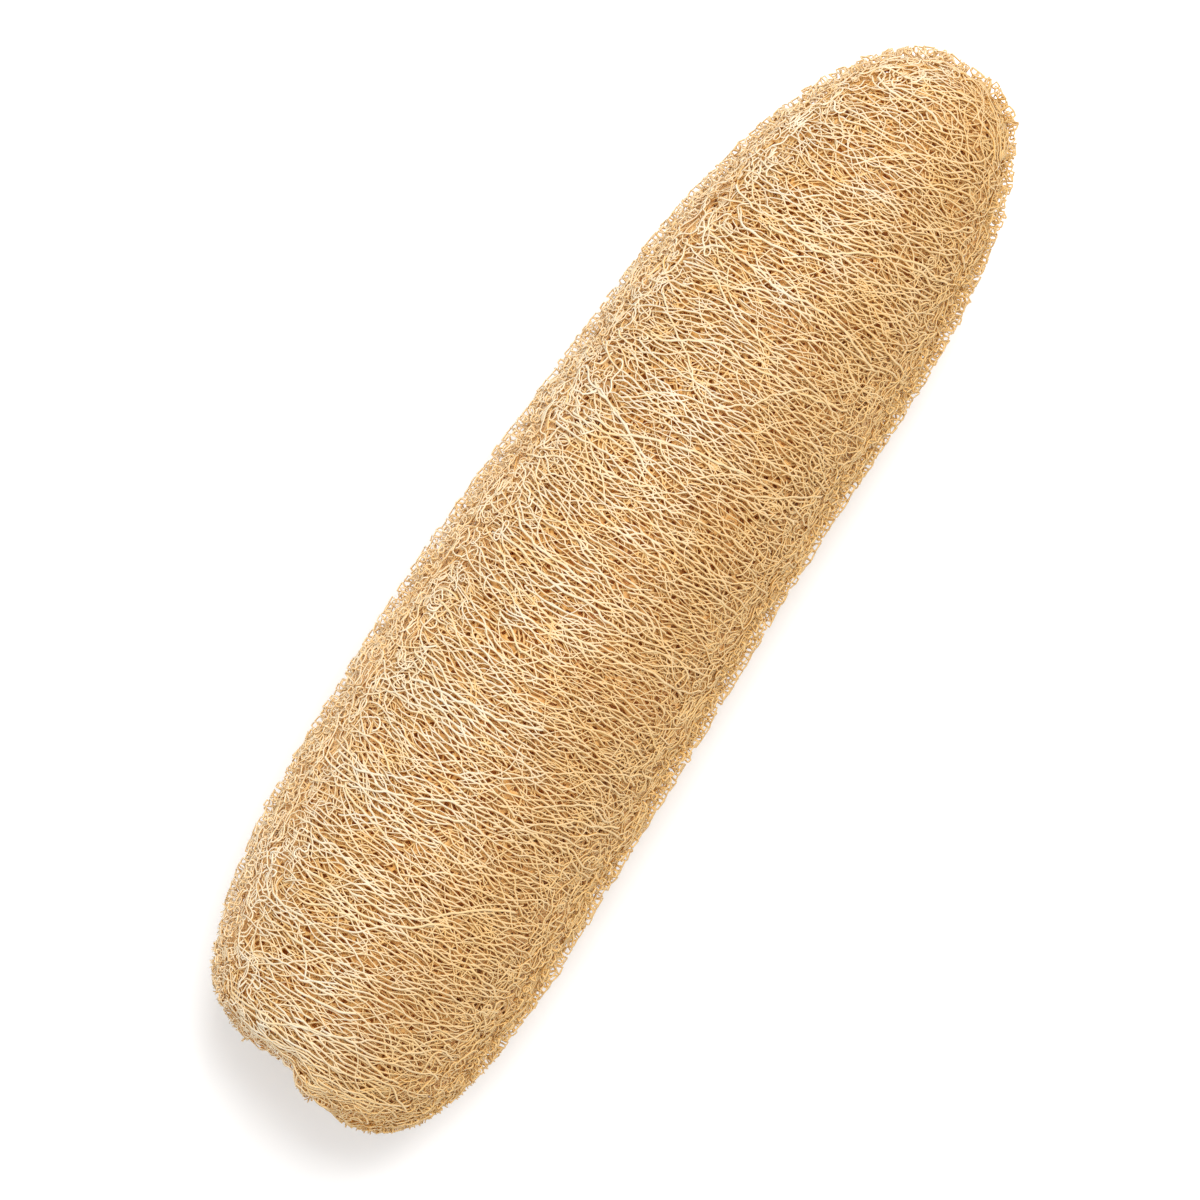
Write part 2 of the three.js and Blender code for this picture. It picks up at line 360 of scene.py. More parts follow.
@dataclass(frozen=True)
class FibreFinish:
    """Dry plant fibre: matt, straw-coloured, browner in some strands and in some patches.

    Shade is painted on the sides and the underside of a fibre, in the side colour. Painted shade
    also darkens and warms the -Y long side, away from the light, and painted light may make a
    finish paler towards both flanks, where the gaps between the fibres would be in shade.
    """

    name: str
    pale: tuple[float, float, float]
    brown: tuple[float, float, float]
    # Painted shade: the colour of the shade painted on a fibre's sides and underside.
    side: tuple[float, float, float] = (0.88, 0.50, 0.11)
    side_shade_share: float = 0.85
    side_shade_from: float = 0.3
    side_shade_full: float = 1.3
    # Painted shade: the colour that darkens and warms the -Y long side, away from the light.
    warm_shade: tuple[float, float, float] = (0.66, 0.44, 0.19)
    # Painted light: the paler colour that a finish takes towards both flanks.
    flank: tuple[float, float, float] = (0.88, 0.60, 0.30)
    warm_shade_share: float = 0.75
    warm_shade_from: float = 10 * MM
    warm_shade_full: float = -22 * MM
    flank_painted_light: float = 0.0
    flank_light_from: float = 20 * MM
    flank_light_full: float = 38 * MM
    roughness: tuple[float, float] = (0.45, 0.7)
    noise_range: tuple[float, float] = (0.3, 0.7)
    patch_scale: float = 45.0
    patch_detail: float = 3.0
    patch_share: float = 0.35
    strand_share: float = 0.7
    mottle: float = 0.0
    streak_scale: float = 900.0
    streak_detail: float = 2.0
    bump_height: float = 0.05 * MM
    bump_strength: float = 0.6

    def _ranged(
        self, tree: bpy.types.NodeTree, noise: bpy.types.NodeSocket, low: float, high: float
    ) -> bpy.types.NodeSocket:
        """Spreads the middle range of a noise.

        Args:
            tree: The material's nodes.
            noise: The noise.
            low: What its low end becomes.
            high: What its high end becomes.

        Returns:
            The spread value.
        """
        source_low, source_high = self.noise_range
        ends = {"From Min": source_low, "From Max": source_high, "To Min": low, "To Max": high}
        return add_node(tree, "ShaderNodeMapRange", {"Value": noise, **ends}).outputs["Result"]

    def _mixed(
        self,
        tree: bpy.types.NodeTree,
        base: bpy.types.NodeSocket,
        colour: tuple[float, float, float],
        rise: tuple[bpy.types.NodeSocket, float, float, float],
    ) -> bpy.types.NodeSocket:
        """Mixes a colour into a base, more where a value is high.

        Args:
            tree: The material's nodes.
            base: The base colour.
            colour: The colour that is mixed in.
            rise: The value, where the mixing starts, where it is full and how much that is.

        Returns:
            The mixed colour.
        """
        value, start, full, most = rise
        ends = {"Value": value, "From Min": start, "From Max": full, "To Max": most}
        share = add_node(tree, "ShaderNodeMapRange", ends, interpolation_type="SMOOTHSTEP")
        inputs = {MIX_SHARE: share.outputs["Result"], MIX_FROM: base, MIX_TO: (*colour, 1)}
        return add_node(tree, "ShaderNodeMix", inputs, data_type="RGBA").outputs[MIX_RESULT]

    def _strand_colour(
        self, tree: bpy.types.NodeTree, patches: bpy.types.NodeSocket, streaks: bpy.types.NodeSocket
    ) -> bpy.types.NodeSocket:
        """The colour that each strand has from its tint and from the patch that it lies in.

        Args:
            tree: The material's nodes.
            patches: The coarse noise.
            streaks: The fine noise.

        Returns:
            The colour, between the pale and the brown one.
        """
        patch = self._ranged(tree, patches, 0, self.patch_share)
        streak = self._ranged(tree, streaks, 0, self.mottle)
        mottled = add_node(tree, "ShaderNodeMath", {0: patch, 1: streak}).outputs[0]
        # The tint holds each strand's own brownness and, in the fibre layers, painted shade that grows with
        # depth under the skin.
        tint = add_node(tree, "ShaderNodeAttribute", {}, attribute_name="tint").outputs["Fac"]
        inputs = {0: tint, 1: self.strand_share, 2: mottled}
        together = add_node(tree, "ShaderNodeMath", inputs, operation="MULTIPLY_ADD").outputs[0]
        inputs = {MIX_SHARE: together, MIX_FROM: (*self.pale, 1), MIX_TO: (*self.brown, 1)}
        return add_node(tree, "ShaderNodeMix", inputs, data_type="RGBA").outputs[MIX_RESULT]

    def build(self) -> bpy.types.Material:
        """Makes the node material.

        Returns:
            The material, which reads the strand's tint and the place on the sponge.
        """
        material = bpy.data.materials.new(self.name)
        material.use_nodes = True
        tree = material.node_tree
        place = add_node(tree, "ShaderNodeTexCoord", {}).outputs["Object"]
        patches = {"Vector": place, "Scale": self.patch_scale, "Detail": self.patch_detail}
        patches = add_node(tree, "ShaderNodeTexNoise", patches).outputs["Fac"]
        streaks = {"Vector": place, "Scale": self.streak_scale, "Detail": self.streak_detail}
        streaks = add_node(tree, "ShaderNodeTexNoise", streaks).outputs["Fac"]
        y = add_node(tree, "ShaderNodeSeparateXYZ", {0: place}).outputs["Y"]
        aside = add_node(tree, "ShaderNodeMath", {0: y}, operation="ABSOLUTE").outputs[0]
        sunk = add_node(tree, "ShaderNodeAttribute", {}, attribute_name="sunk").outputs["Fac"]
        colour = self._strand_colour(tree, patches, streaks)
        # Painted light: paler towards both flanks, where the gaps between the fibres would be in shade.
        rise = (aside, self.flank_light_from, self.flank_light_full, self.flank_painted_light)
        colour = self._mixed(tree, colour, self.flank, rise)
        # Painted shade: darker and warmer towards -Y, the long side that lies away from the light.
        rise = (y, self.warm_shade_from, self.warm_shade_full, self.warm_shade_share)
        colour = self._mixed(tree, colour, self.warm_shade, rise)
        # Painted shade on each fibre's sides and underside, more where its surface faces away from outside.
        rise = (sunk, self.side_shade_from, self.side_shade_full, self.side_shade_share)
        colour = self._mixed(tree, colour, self.side, rise)
        relief = {"Height": streaks, "Distance": self.bump_height, "Strength": self.bump_strength}
        relief = add_node(tree, "ShaderNodeBump", relief).outputs["Normal"]
        shader = tree.nodes["Principled BSDF"]
        tree.links.new(colour, shader.inputs["Base Color"])
        tree.links.new(self._ranged(tree, streaks, *self.roughness), shader.inputs["Roughness"])
        tree.links.new(relief, shader.inputs["Normal"])
        return material


def new_tree(name: str, inputs: dict[str, str]) -> tuple[bpy.types.GeometryNodeTree, dict, dict]:
    """Starts a geometry node tree.

    Args:
        name: The tree's name.
        inputs: The socket type of each named input besides the geometry.

    Returns:
        The tree, its inputs' sockets by name and its output's sockets by name.
    """
    tree = bpy.data.node_groups.new(name, "GeometryNodeTree")
    tree.interface.new_socket("Geometry", in_out="INPUT", socket_type="NodeSocketGeometry")
    for label, kind in inputs.items():
        tree.interface.new_socket(label, in_out="INPUT", socket_type=kind)
    tree.interface.new_socket("Geometry", in_out="OUTPUT", socket_type="NodeSocketGeometry")
    entry = tree.nodes.new("NodeGroupInput")
    leave = tree.nodes.new("NodeGroupOutput")
    return tree, dict(entry.outputs.items()), dict(leave.inputs.items())


def finish_tree(
    tree: bpy.types.GeometryNodeTree,
    shape: bpy.types.NodeSocket,
    finish: bpy.types.NodeSocket,
    leave: bpy.types.NodeSocket,
) -> None:
    """Ends a tree: smooth shading, real geometry and the material.

    Args:
        tree: The tree.
        shape: The finished shape.
        finish: The input that holds the material.
        leave: The tree's output.
    """
    real = add_node(tree, "GeometryNodeRealizeInstances", {"Geometry": shape})
    shade = add_node(tree, "GeometryNodeSetShadeSmooth", {"Geometry": real.outputs["Geometry"]})
    inputs = {"Geometry": shade.outputs["Geometry"], "Material": finish}
    dress = add_node(tree, "GeometryNodeSetMaterial", inputs)
    tree.links.new(dress.outputs["Geometry"], leave)


def strand_tree() -> bpy.types.GeometryNodeTree:
    """Makes the node tree that turns polylines into fibres with thickness.

    It stores on each fibre, as sunk, how far its surface faces away from outside: 0 on its crest,
    1 on its sides and 2 underneath. The finishes paint shade on a fibre's sides and underside by it.

    Returns:
        A tree with inputs for the step along a fibre, its sides, its ends and its finish.
    """
    kinds = {
        "Step along a fibre": "NodeSocketFloat",
        "Sides of a fibre": "NodeSocketInt",
        "Closed ends": "NodeSocketBool",
        "Finish": "NodeSocketMaterial",
    }
    tree, entry, leave = new_tree("Fibres", kinds)
    curve = add_node(tree, "GeometryNodeMeshToCurve", {"Mesh": entry["Geometry"]})
    inputs = {"Curve": curve.outputs[0]}
    smooth = add_node(tree, "GeometryNodeCurveSplineType", inputs, spline_type="CATMULL_ROM")
    inputs = {"Curve": smooth.outputs[0], "Length": entry["Step along a fibre"]}
    even = add_node(tree, "GeometryNodeResampleCurve", inputs, mode="LENGTH")
    inputs = {"Radius": 1, "Resolution": entry["Sides of a fibre"]}
    section = add_node(tree, "GeometryNodeCurvePrimitiveCircle", inputs)
    named = "GeometryNodeInputNamedAttribute"
    thickness = add_node(tree, named, {"Name": "thickness"}, data_type="FLOAT")
    outward = add_node(tree, named, {"Name": "outward"}, data_type="FLOAT_VECTOR")
    inputs = {
        "Curve": even.outputs[0],
        "Profile Curve": section.outputs["Curve"],
        "Scale": thickness.outputs["Attribute"],
        "Fill Caps": entry["Closed ends"],
    }
    skin = add_node(tree, "GeometryNodeCurveToMesh", inputs)
    normal = add_node(tree, "GeometryNodeInputNormal", {}).outputs["Normal"]
    inputs = {0: normal, 1: outward.outputs["Attribute"]}
    facing = add_node(tree, "ShaderNodeVectorMath", inputs, operation="DOT_PRODUCT").outputs["Value"]
    turned = add_node(tree, "ShaderNodeMath", {0: 1, 1: facing}, operation="SUBTRACT").outputs[0]
    inputs = {"Geometry": skin.outputs["Mesh"], "Name": "sunk", "Value": turned}
    sunk = add_node(tree, "GeometryNodeStoreNamedAttribute", inputs)
    finish_tree(tree, sunk.outputs["Geometry"], entry["Finish"], leave["Geometry"])
    return tree


def fibre_inputs(step: float, finish: bpy.types.Material, closed: bool = False) -> dict[str, object]:
    """The fibre tree's inputs: three-sided fibres with a step, a finish and open or closed ends."""
    return {"Step along a fibre": step, "Sides of a fibre": 3, "Closed ends": closed, "Finish": finish}


def bake_nodes(
    name: str, mesh: bpy.types.Mesh, tree: bpy.types.GeometryNodeTree, inputs: dict[str, object]
) -> bpy.types.Object:
    """Runs a node tree on a mesh and keeps the result as a plain mesh.

    Args:
        name: The finished object's name.
        mesh: The mesh that the tree starts from.
        tree: The geometry node tree.
        inputs: A value for each of the tree's named inputs.

    Returns:
        An object at the origin with the result as its mesh and no modifier.
    """
    piece = bpy.data.objects.new(name, mesh)
    bpy.context.scene.collection.objects.link(piece)
    modifier = piece.modifiers.new("Nodes", "NODES")
    modifier.node_group = tree
    for item in tree.interface.items_tree:
        if item.name in inputs and item.in_out == "INPUT":
            modifier[item.identifier] = inputs[item.name]
    graph = bpy.context.evaluated_depsgraph_get()
    result = bpy.data.meshes.new_from_object(
        piece.evaluated_get(graph), preserve_all_data_layers=True, depsgraph=graph
    )
    piece.modifiers.clear()
    piece.data = result
    result.name = name
    bpy.data.meshes.remove(mesh)
    return piece


@dataclass
class Strands:
    """Polylines on the body, with a radius and a tint at each point."""

    body: SpongeBody
    counts: list[int] = field(default_factory=list)
    turns: list[float] = field(default_factory=list)
    reaches: list[float] = field(default_factory=list)
    lifts: list[float] = field(default_factory=list)
    radii: list[float] = field(default_factory=list)
    tints: list[float] = field(default_factory=list)

    def add(
        self,
        turns: list[float],
        reaches: list[float],
        lifts: list[float],
        radii: list[float],
        tints: list[float],
    ) -> None:
        """Adds one polyline.

        Args:
            turns: The turn of each of its points round the body.
            reaches: The length of each point along the profile.
            lifts: The height of each point over the skin.
            radii: The fibre's radius at each point.
            tints: How brown the fibre is at each point, from 0 to 1.
        """
        self.counts.append(len(turns))
        self.turns += turns
        self.reaches += reaches
        self.lifts += lifts
        self.radii += radii
        self.tints += tints

    def add_even(
        self,
        turns: np.ndarray,
        reaches: np.ndarray,
        lifts: np.ndarray,
        radius: float,
        rng: np.random.Generator,
    ) -> None:
        """Adds one polyline that is equally thick and equally brown all along.

        Args:
            turns: The turn of each of its points round the body.
            reaches: The length of each point along the profile.
            lifts: The height of each point over the skin.
            radius: The mean radius of such fibres.
            rng: The seeded source of random numbers, for its own radius and tint.
        """
        own = radius * rng.uniform(*THICKNESS_RANGE)
        tint = float(rng.random())
        count = len(turns)
        self.add(turns.tolist(), reaches.tolist(), lifts.tolist(), [own] * count, [tint] * count)

    def to_meshes(self, name: str, parts: int, low: float = 22 * MM) -> list[bpy.types.Mesh]:
        """Writes the polylines as mesh edges: the low ones, then the others from foot to crown.

        Args:
            name: The meshes' name.
            parts: How many groups are made of those that start above the low height.
            low: The height under which a polyline that starts there is in the first group.

        Returns:
            The meshes, with no faces and with thickness, tint and outward attributes.
        """
        counts = np.array(self.counts)
        radii = np.array(self.radii)
        points = self.body.points(np.array(self.reaches), np.array(self.turns), np.array(self.lifts))
        above = self.body.points(np.array(self.reaches), np.array(self.turns), np.array(self.lifts) + MM)
        outward = (above - points) / MM
        points[:, 2] = np.maximum(points[:, 2], radii)
        starts = np.cumsum(counts) - counts
        first_x, first_z = points[starts, 0], points[starts, 2]
        cuts = np.quantile(first_x[first_z > low], np.linspace(0, 1, parts + 1))[1:-1]
        part = np.where(first_z > low, 1 + np.searchsorted(cuts, first_x), 0)
        group = np.repeat(part, counts)
        is_last = np.zeros(len(points), bool)
        is_last[starts + counts - 1] = True
        tints = np.array(self.tints)
        meshes = []
        for k in range(parts + 1):
            mine = group == k
            values = {"thickness": radii[mine], "tint": tints[mine], "outward": outward[mine]}
            meshes.append(self._mesh(f"{name}_{k}", points[mine], is_last[mine], values))
        return meshes

    @staticmethod
    def _mesh(
        name: str, points: np.ndarray, is_last: np.ndarray, values: dict[str, np.ndarray]
    ) -> bpy.types.Mesh:
        """Makes one mesh of edges.

        Args:
            name: The mesh's name.
            points: The points of its polylines, one after the other.
            is_last: Which points end a polyline.
            values: Named values for each point.

        Returns:
            The mesh.
        """
        first = np.flatnonzero(~is_last)
        edges = np.stack([first, first + 1], axis=1)
        mesh = bpy.data.meshes.new(name)
        mesh.vertices.add(len(points))
        mesh.vertices.foreach_set("co", points.astype(np.float32).ravel())
        mesh.edges.add(len(edges))
        mesh.edges.foreach_set("vertices", edges.astype(np.int32).ravel())
        for label, numbers in values.items():
            is_vector = numbers.ndim == 2
            attribute = mesh.attributes.new(label, "FLOAT_VECTOR" if is_vector else "FLOAT", "POINT")
            slot = "vector" if is_vector else "value"
            attribute.data.foreach_set(slot, numbers.astype(np.float32).ravel())
        mesh.update()
        return mesh


def bake_whole(
    name: str, found: Strands, tree: bpy.types.GeometryNodeTree, inputs: dict[str, object]
) -> bpy.types.Object:
    """Makes one object of all the polylines.

    Args:
        name: The object's name.
        found: The polylines.
        tree: The fibre tree.
        inputs: A value for each of the tree's named inputs.

    Returns:
        The object, at the origin.
    """
    none_below, whole = found.to_meshes(name + "_lines", 1, -MM)
    bpy.data.meshes.remove(none_below)
    return bake_nodes(name, whole, tree, inputs)


def faced_object(
    name: str, points: np.ndarray, faces: list[list[int]], finish: bpy.types.Material
) -> bpy.types.Object:
    """Makes an object of points and faces.

    Args:
        name: The object's name.
        points: Its points, one row each.
        faces: The numbers of each face's corners.
        finish: Its material.

    Returns:
        The object, smooth and at the origin.
    """
    mesh = bpy.data.meshes.new(name)
    mesh.from_pydata(points.tolist(), [], faces)
    mesh.polygons.foreach_set("use_smooth", np.ones(len(mesh.polygons), bool))
    mesh.materials.append(finish)
    piece = bpy.data.objects.new(name, mesh)
    bpy.context.scene.collection.objects.link(piece)
    return piece


@dataclass
class Chart:
    """A flat map of the skin, on which cells that are drawn out round the body look round.

    u runs round the body and v along it. The cells are drawn out most on the upper and the lower
    side of the belly, less on its flanks and least at its ends.
    """

    body: SpongeBody
    stretch: float
    tip_stretch: float
    flank_share: float
    pole_radius: float = 1.6 * MM
    round_from: float = 8 * MM
    round_to: float = 34 * MM
    reach_steps: int = 2000
    turn_steps: int = 1441

    def __post_init__(self) -> None:
        """Sums up the chart's two scales."""
        inside = self.body.reach[self.body.profile_r > self.pole_radius]
        self.start, self.end = float(inside[0]), float(inside[-1])
        self.reaches = np.linspace(self.start, self.end, self.reach_steps)
        self.turns = np.linspace(0, TAU, self.turn_steps)
        rate = self.stretch_at(self.reaches) / self.body.radius_at(self.reaches)
        self.vs = running_sum(rate, self.reaches)
        self.us = running_sum(1 / self.flank_at(self.turns), self.turns)
        self.width, self.height = float(self.us[-1]), float(self.vs[-1])

    def stretch_at(self, reach: np.ndarray) -> np.ndarray:
        """How far the cells are drawn out round the body, at a length along the profile."""
        share = smoothstep(self.body.radius_at(reach), self.round_from, self.round_to)
        return self.tip_stretch + (self.stretch - self.tip_stretch) * share

    def flank_at(self, turn: np.ndarray) -> np.ndarray:
        """How much of that is left at a turn round the body."""
        return self.flank_share + (1 - self.flank_share) * np.sin(turn) ** 2

    def flatten(self, turn: np.ndarray, reach: np.ndarray) -> np.ndarray:
        """Places on the skin as places on the chart."""
        u = np.interp(turn % TAU, self.turns, self.us)
        return np.stack([u, np.interp(reach, self.reaches, self.vs)], axis=1)

    def unroll(self, spots: np.ndarray) -> np.ndarray:
        """Places on the chart as turns and lengths on the skin."""
        turn = np.interp(spots[:, 0] % self.width, self.us, self.turns)
        return np.stack([turn, np.interp(spots[:, 1], self.vs, self.reaches)], axis=1)


@dataclass(frozen=True)
class Weave:
    """The sizes of a layer's cells and how far they are drawn out round the body."""

    cell_area: float
    stretch: float
    tip_stretch: float
    flank_share: float
    uneven: float


class CellScatter:
    """Throws cell middles on a chart so that none is nearer to another than its size allows."""

    DARTS_PER_CELL = 12
    # The square of the smallest distance between two middles, against a cell's area.
    PACKING = 0.64
    # The size of the patches in which cells are larger or smaller.
    PATCH = 13 * MM

    def __init__(self, chart: Chart, weave: Weave, rng: np.random.Generator) -> None:
        """Draws the patches in which the cells are larger or smaller.

        Args:
            chart: The chart that the cells lie on.
            weave: The cells' sizes.
            rng: The seeded source of random numbers.
        """
        self.chart = chart
        self.weave = weave
        self.patches = Ripple(rng, self.PATCH)

    def gaps(self, spots: np.ndarray) -> np.ndarray:
        """How much room each cell needs.

        Args:
            spots: Cell middles on the chart.

        Returns:
            The smallest distance on the chart from each to the next cell's middle.
        """
        place = self.chart.unroll(spots)
        body = self.chart.body
        skin = body.points(place[:, 1], place[:, 0], 0)
        area = self.weave.cell_area * np.exp(self.weave.uneven * self.patches.at(skin))
        drawn = self.chart.stretch_at(place[:, 1]) / self.chart.flank_at(place[:, 0])
        return np.sqrt(self.PACKING * area * drawn) / body.radius_at(place[:, 1])

    def throw(self, rng: np.random.Generator) -> np.ndarray:
        """Cell middles as places on the chart.

        Args:
            rng: The seeded source of random numbers.

        Returns:
            One row for each cell.
        """
        chart = self.chart
        area = running_sum(TAU * chart.body.radius_at(chart.reaches), chart.reaches)
        darts = int(self.DARTS_PER_CELL * area[-1] / self.weave.cell_area)
        reach = np.interp(rng.uniform(0, area[-1], darts), area, chart.reaches)
        spots = chart.flatten(rng.uniform(0, TAU, darts), reach)
        gaps = self.gaps(spots)
        row_height = float(gaps.min())
        columns = int(chart.width / row_height)
        column_width = chart.width / columns
        taken: dict[tuple[int, int], list[tuple[float, float]]] = {}
        kept = []
        for u, v, gap in zip(spots[:, 0].tolist(), spots[:, 1].tolist(), gaps.tolist()):
            column, row = int(u / column_width), int(v / row_height)
            steps = int(gap / row_height) + 1
            if self._is_free(taken, columns, (column, row), (u, v), gap, steps):
                taken.setdefault((column % columns, row), []).append((u, v))
                kept.append((u, v))
        return np.array(kept)

    def _is_free(
        self,
        taken: dict[tuple[int, int], list[tuple[float, float]]],
        columns: int,
        cell: tuple[int, int],
        spot: tuple[float, float],
        gap: float,
        steps: int,
    ) -> bool:
        """Whether a place is far enough from every middle that was kept before.

        Args:
            taken: The kept middles, by the column and the row of a grid over the chart.
            columns: How many columns the grid has.
            cell: The place's column and row.
            spot: The place.
            gap: How far from it the next middle has to be.
            steps: How many columns and rows that reaches over.

        Returns:
            True where no kept middle is nearer.
        """
        width = self.chart.width
        (column, row), (u, v) = cell, spot
        for i in range(column - steps, column + steps + 1):
            for j in range(row - steps, row + steps + 1):
                for other_u, other_v in taken.get((i % columns, j), ()):
                    across = abs(other_u - u)
                    across = min(across, width - across)
                    if across * across + (other_v - v) ** 2 < gap * gap:
                        return False
        return True


class CellPattern:
    """Cells spread over the skin: the places that are nearer to one middle than to the others."""

    # How far past the chart's two ends a corner still counts as on it.
    EDGE = 0.01
    # The share of the chart that is laid again past each end, so that the cells close round.
    MARGIN = 0.25

    def __init__(self, body: SpongeBody, weave: Weave, rng: np.random.Generator) -> None:
        """Lays out the cells.

        Args:
            body: The body that they cover.
            weave: Their sizes.
            rng: The seeded source of random numbers.
        """
        self.chart = Chart(body, weave.stretch, weave.tip_stretch, weave.flank_share)
        spots = CellScatter(self.chart, weave, rng).throw(rng)
        self.middles = self.chart.unroll(spots)
        self._trace(spots)

    def _trace(self, middles: np.ndarray) -> None:
        """Finds the cells' corners and sides, and the two cells beside each side.

        Args:
            middles: Cell middles on the chart.
        """
        chart = self.chart
        margin = chart.width * self.MARGIN
        low = middles[:, 0] < margin
        high = middles[:, 0] > chart.width - margin
        number = np.concatenate([np.arange(len(middles)), np.flatnonzero(low), np.flatnonzero(high)])
        round_once = np.array([chart.width, 0])
        spots = np.concatenate([middles, middles[low] + round_once, middles[high] - round_once])
        faces = delaunay_2d_cdt([Vector(p) for p in spots], [], [], 0, JOIN_DISTANCE)[2]
        faces = np.array([f for f in faces if len(f) == 3])
        centre = circle_centres(spots[faces[:, 0]], spots[faces[:, 1]], spots[faces[:, 2]])
        key = np.sort(number[faces], axis=1)
        _, first, corner = np.unique(key, axis=0, return_index=True, return_inverse=True)
        corner = corner.ravel()
        home = (centre[:, 0] > -self.EDGE) & (centre[:, 0] < chart.width + self.EDGE)
        inside = np.zeros(len(first), bool)
        inside[corner[home]] = True
        place = centre[first].copy()
        place[corner[home]] = centre[home]
        inside &= (place[:, 1] > 0) & (place[:, 1] < chart.height)
        left, right, shared = shared_sides(faces)
        near = home[left] | home[right]
        pairs = np.sort(np.stack([corner[left[near]], corner[right[near]]], axis=1), axis=1)
        pairs, once = np.unique(pairs, axis=0, return_index=True)
        keep = inside[pairs].all(axis=1) & (pairs[:, 0] != pairs[:, 1])
        self.corners = chart.unroll(place)
        self.sides = pairs[keep]
        self.beside = number[shared[near][once]][keep]


def circle_centres(a: np.ndarray, b: np.ndarray, c: np.ndarray) -> np.ndarray:
    """Finds the circles through each three points.

    Args:
        a: The first points, one row each.
        b: The second points.
        c: The third points.

    Returns:
        The circles' middles, one row each.
    """
    ab, ac = b - a, c - a
    cross = 2 * (ab[:, 0] * ac[:, 1] - ab[:, 1] * ac[:, 0])
    ab_sq, ac_sq = (ab**2).sum(axis=1), (ac**2).sum(axis=1)
    x = (ac[:, 1] * ab_sq - ab[:, 1] * ac_sq) / cross
    y = (ab[:, 0] * ac_sq - ac[:, 0] * ab_sq) / cross
    return a + np.stack([x, y], axis=1)


def shared_sides(faces: np.ndarray) -> tuple[np.ndarray, np.ndarray, np.ndarray]:
    """The pairs of triangles that share a side.

    Args:
        faces: The triangles' corner numbers.

    Returns:
        The first and the second triangle of each pair, and the two corners that they share.
    """
    sides = np.sort(np.concatenate([faces[:, [0, 1]], faces[:, [1, 2]], faces[:, [2, 0]]]), axis=1)
    owner = np.tile(np.arange(len(faces)), 3)
    order = np.lexsort(sides.T)
    sides, owner = sides[order], owner[order]
    same = np.flatnonzero((sides[1:] == sides[:-1]).all(axis=1))
    return owner[same], owner[same + 1], sides[same]


class SkinGrid:
    """Pairs up the points of the skin that lie close together."""

    # Points in a cell past this number are left out.
    MOST_IN_CELL = 14

    def __init__(self, body: SpongeBody, near: float) -> None:
        """Divides the skin into cells that are as wide as the longest distance looked for.

        Args:
            body: The body that the points lie on.
            near: That distance.
        """
        self.body = body
        self.near = near
        rows = int(body.reach[-1] / near) + 2
        middles = (np.arange(rows) + 0.5) * near
        self.columns = np.maximum(TAU * body.radius_at(middles) / near, 1).astype(int)
        self.first = np.concatenate([[0], np.cumsum(self.columns)])

    def _cells(self, turn: np.ndarray, row: np.ndarray, shift: int) -> np.ndarray:
        """Finds the cell that holds each place, or one beside it.

        Args:
            turn: The places' turns.
            row: The row of each place.
            shift: How many cells further round the body is looked.

        Returns:
            The cells' numbers.
        """
        columns = self.columns[row]
        column = (turn / TAU * columns).astype(int)
        return self.first[row] + (column + shift) % columns

    def pairs(self, turn: np.ndarray, reach: np.ndarray) -> tuple[np.ndarray, ...]:
        """Each two points that lie closer together than the distance.

        Args:
            turn: The points' turns.
            reach: The points' lengths along the profile.

        Returns:
            The numbers of both points, and the way from the first to the second in metres, round
            the body and along it.
        """
        turn = turn % TAU
        last = len(self.columns) - 1
        row = np.clip((reach / self.near).astype(int), 0, last)
        cell = self._cells(turn, row, 0)
        order = np.argsort(cell, kind="stable")
        starts = np.searchsorted(cell[order], np.arange(self.first[-1] + 1))
        count = np.diff(starts)
        firsts, seconds = [], []
        for up in (-1, 0, 1):
            for shift in (-1, 0, 1):
                there = self._cells(turn, np.clip(row + up, 0, last), shift)
                for slot in range(self.MOST_IN_CELL):
                    i = np.flatnonzero(slot < count[there])
                    firsts.append(i)
                    seconds.append(order[starts[there[i]] + slot])
        i, j = np.concatenate(firsts), np.concatenate(seconds)
        across = wrap(turn[j] - turn[i]) * self.body.radius_at(reach[i])
        along = reach[j] - reach[i]
        near = across**2 + along**2 < self.near**2
        return i[near], j[near], across[near], along[near]


class Zone(Enum):
    """Where on the body a kind of fibre grows."""

    BROAD_SIDES = "on top and underneath"
    FLANKS = "on the flanks and the tips"


@dataclass(frozen=True)
class FibreKind:
    """The sizes and the habit of one sort of fibre.

    Spacing is the mean distance between neighbours. Lean is the spread of their headings, from
    straight round the body, and wander and curl are how much a heading changes on the way.
    """

    spacing: float
    length: tuple[float, float]
    lean: float
    radius: float
    depth: tuple[float, float]
    tint: tuple[float, float] = (0.0, 1.0)
    zone: Zone = Zone.BROAD_SIDES
    zone_edge: tuple[float, float] = (0.3, 0.75)
    wander: float = 0.13
    memory: float = 0.77
    curl: float = 0.0


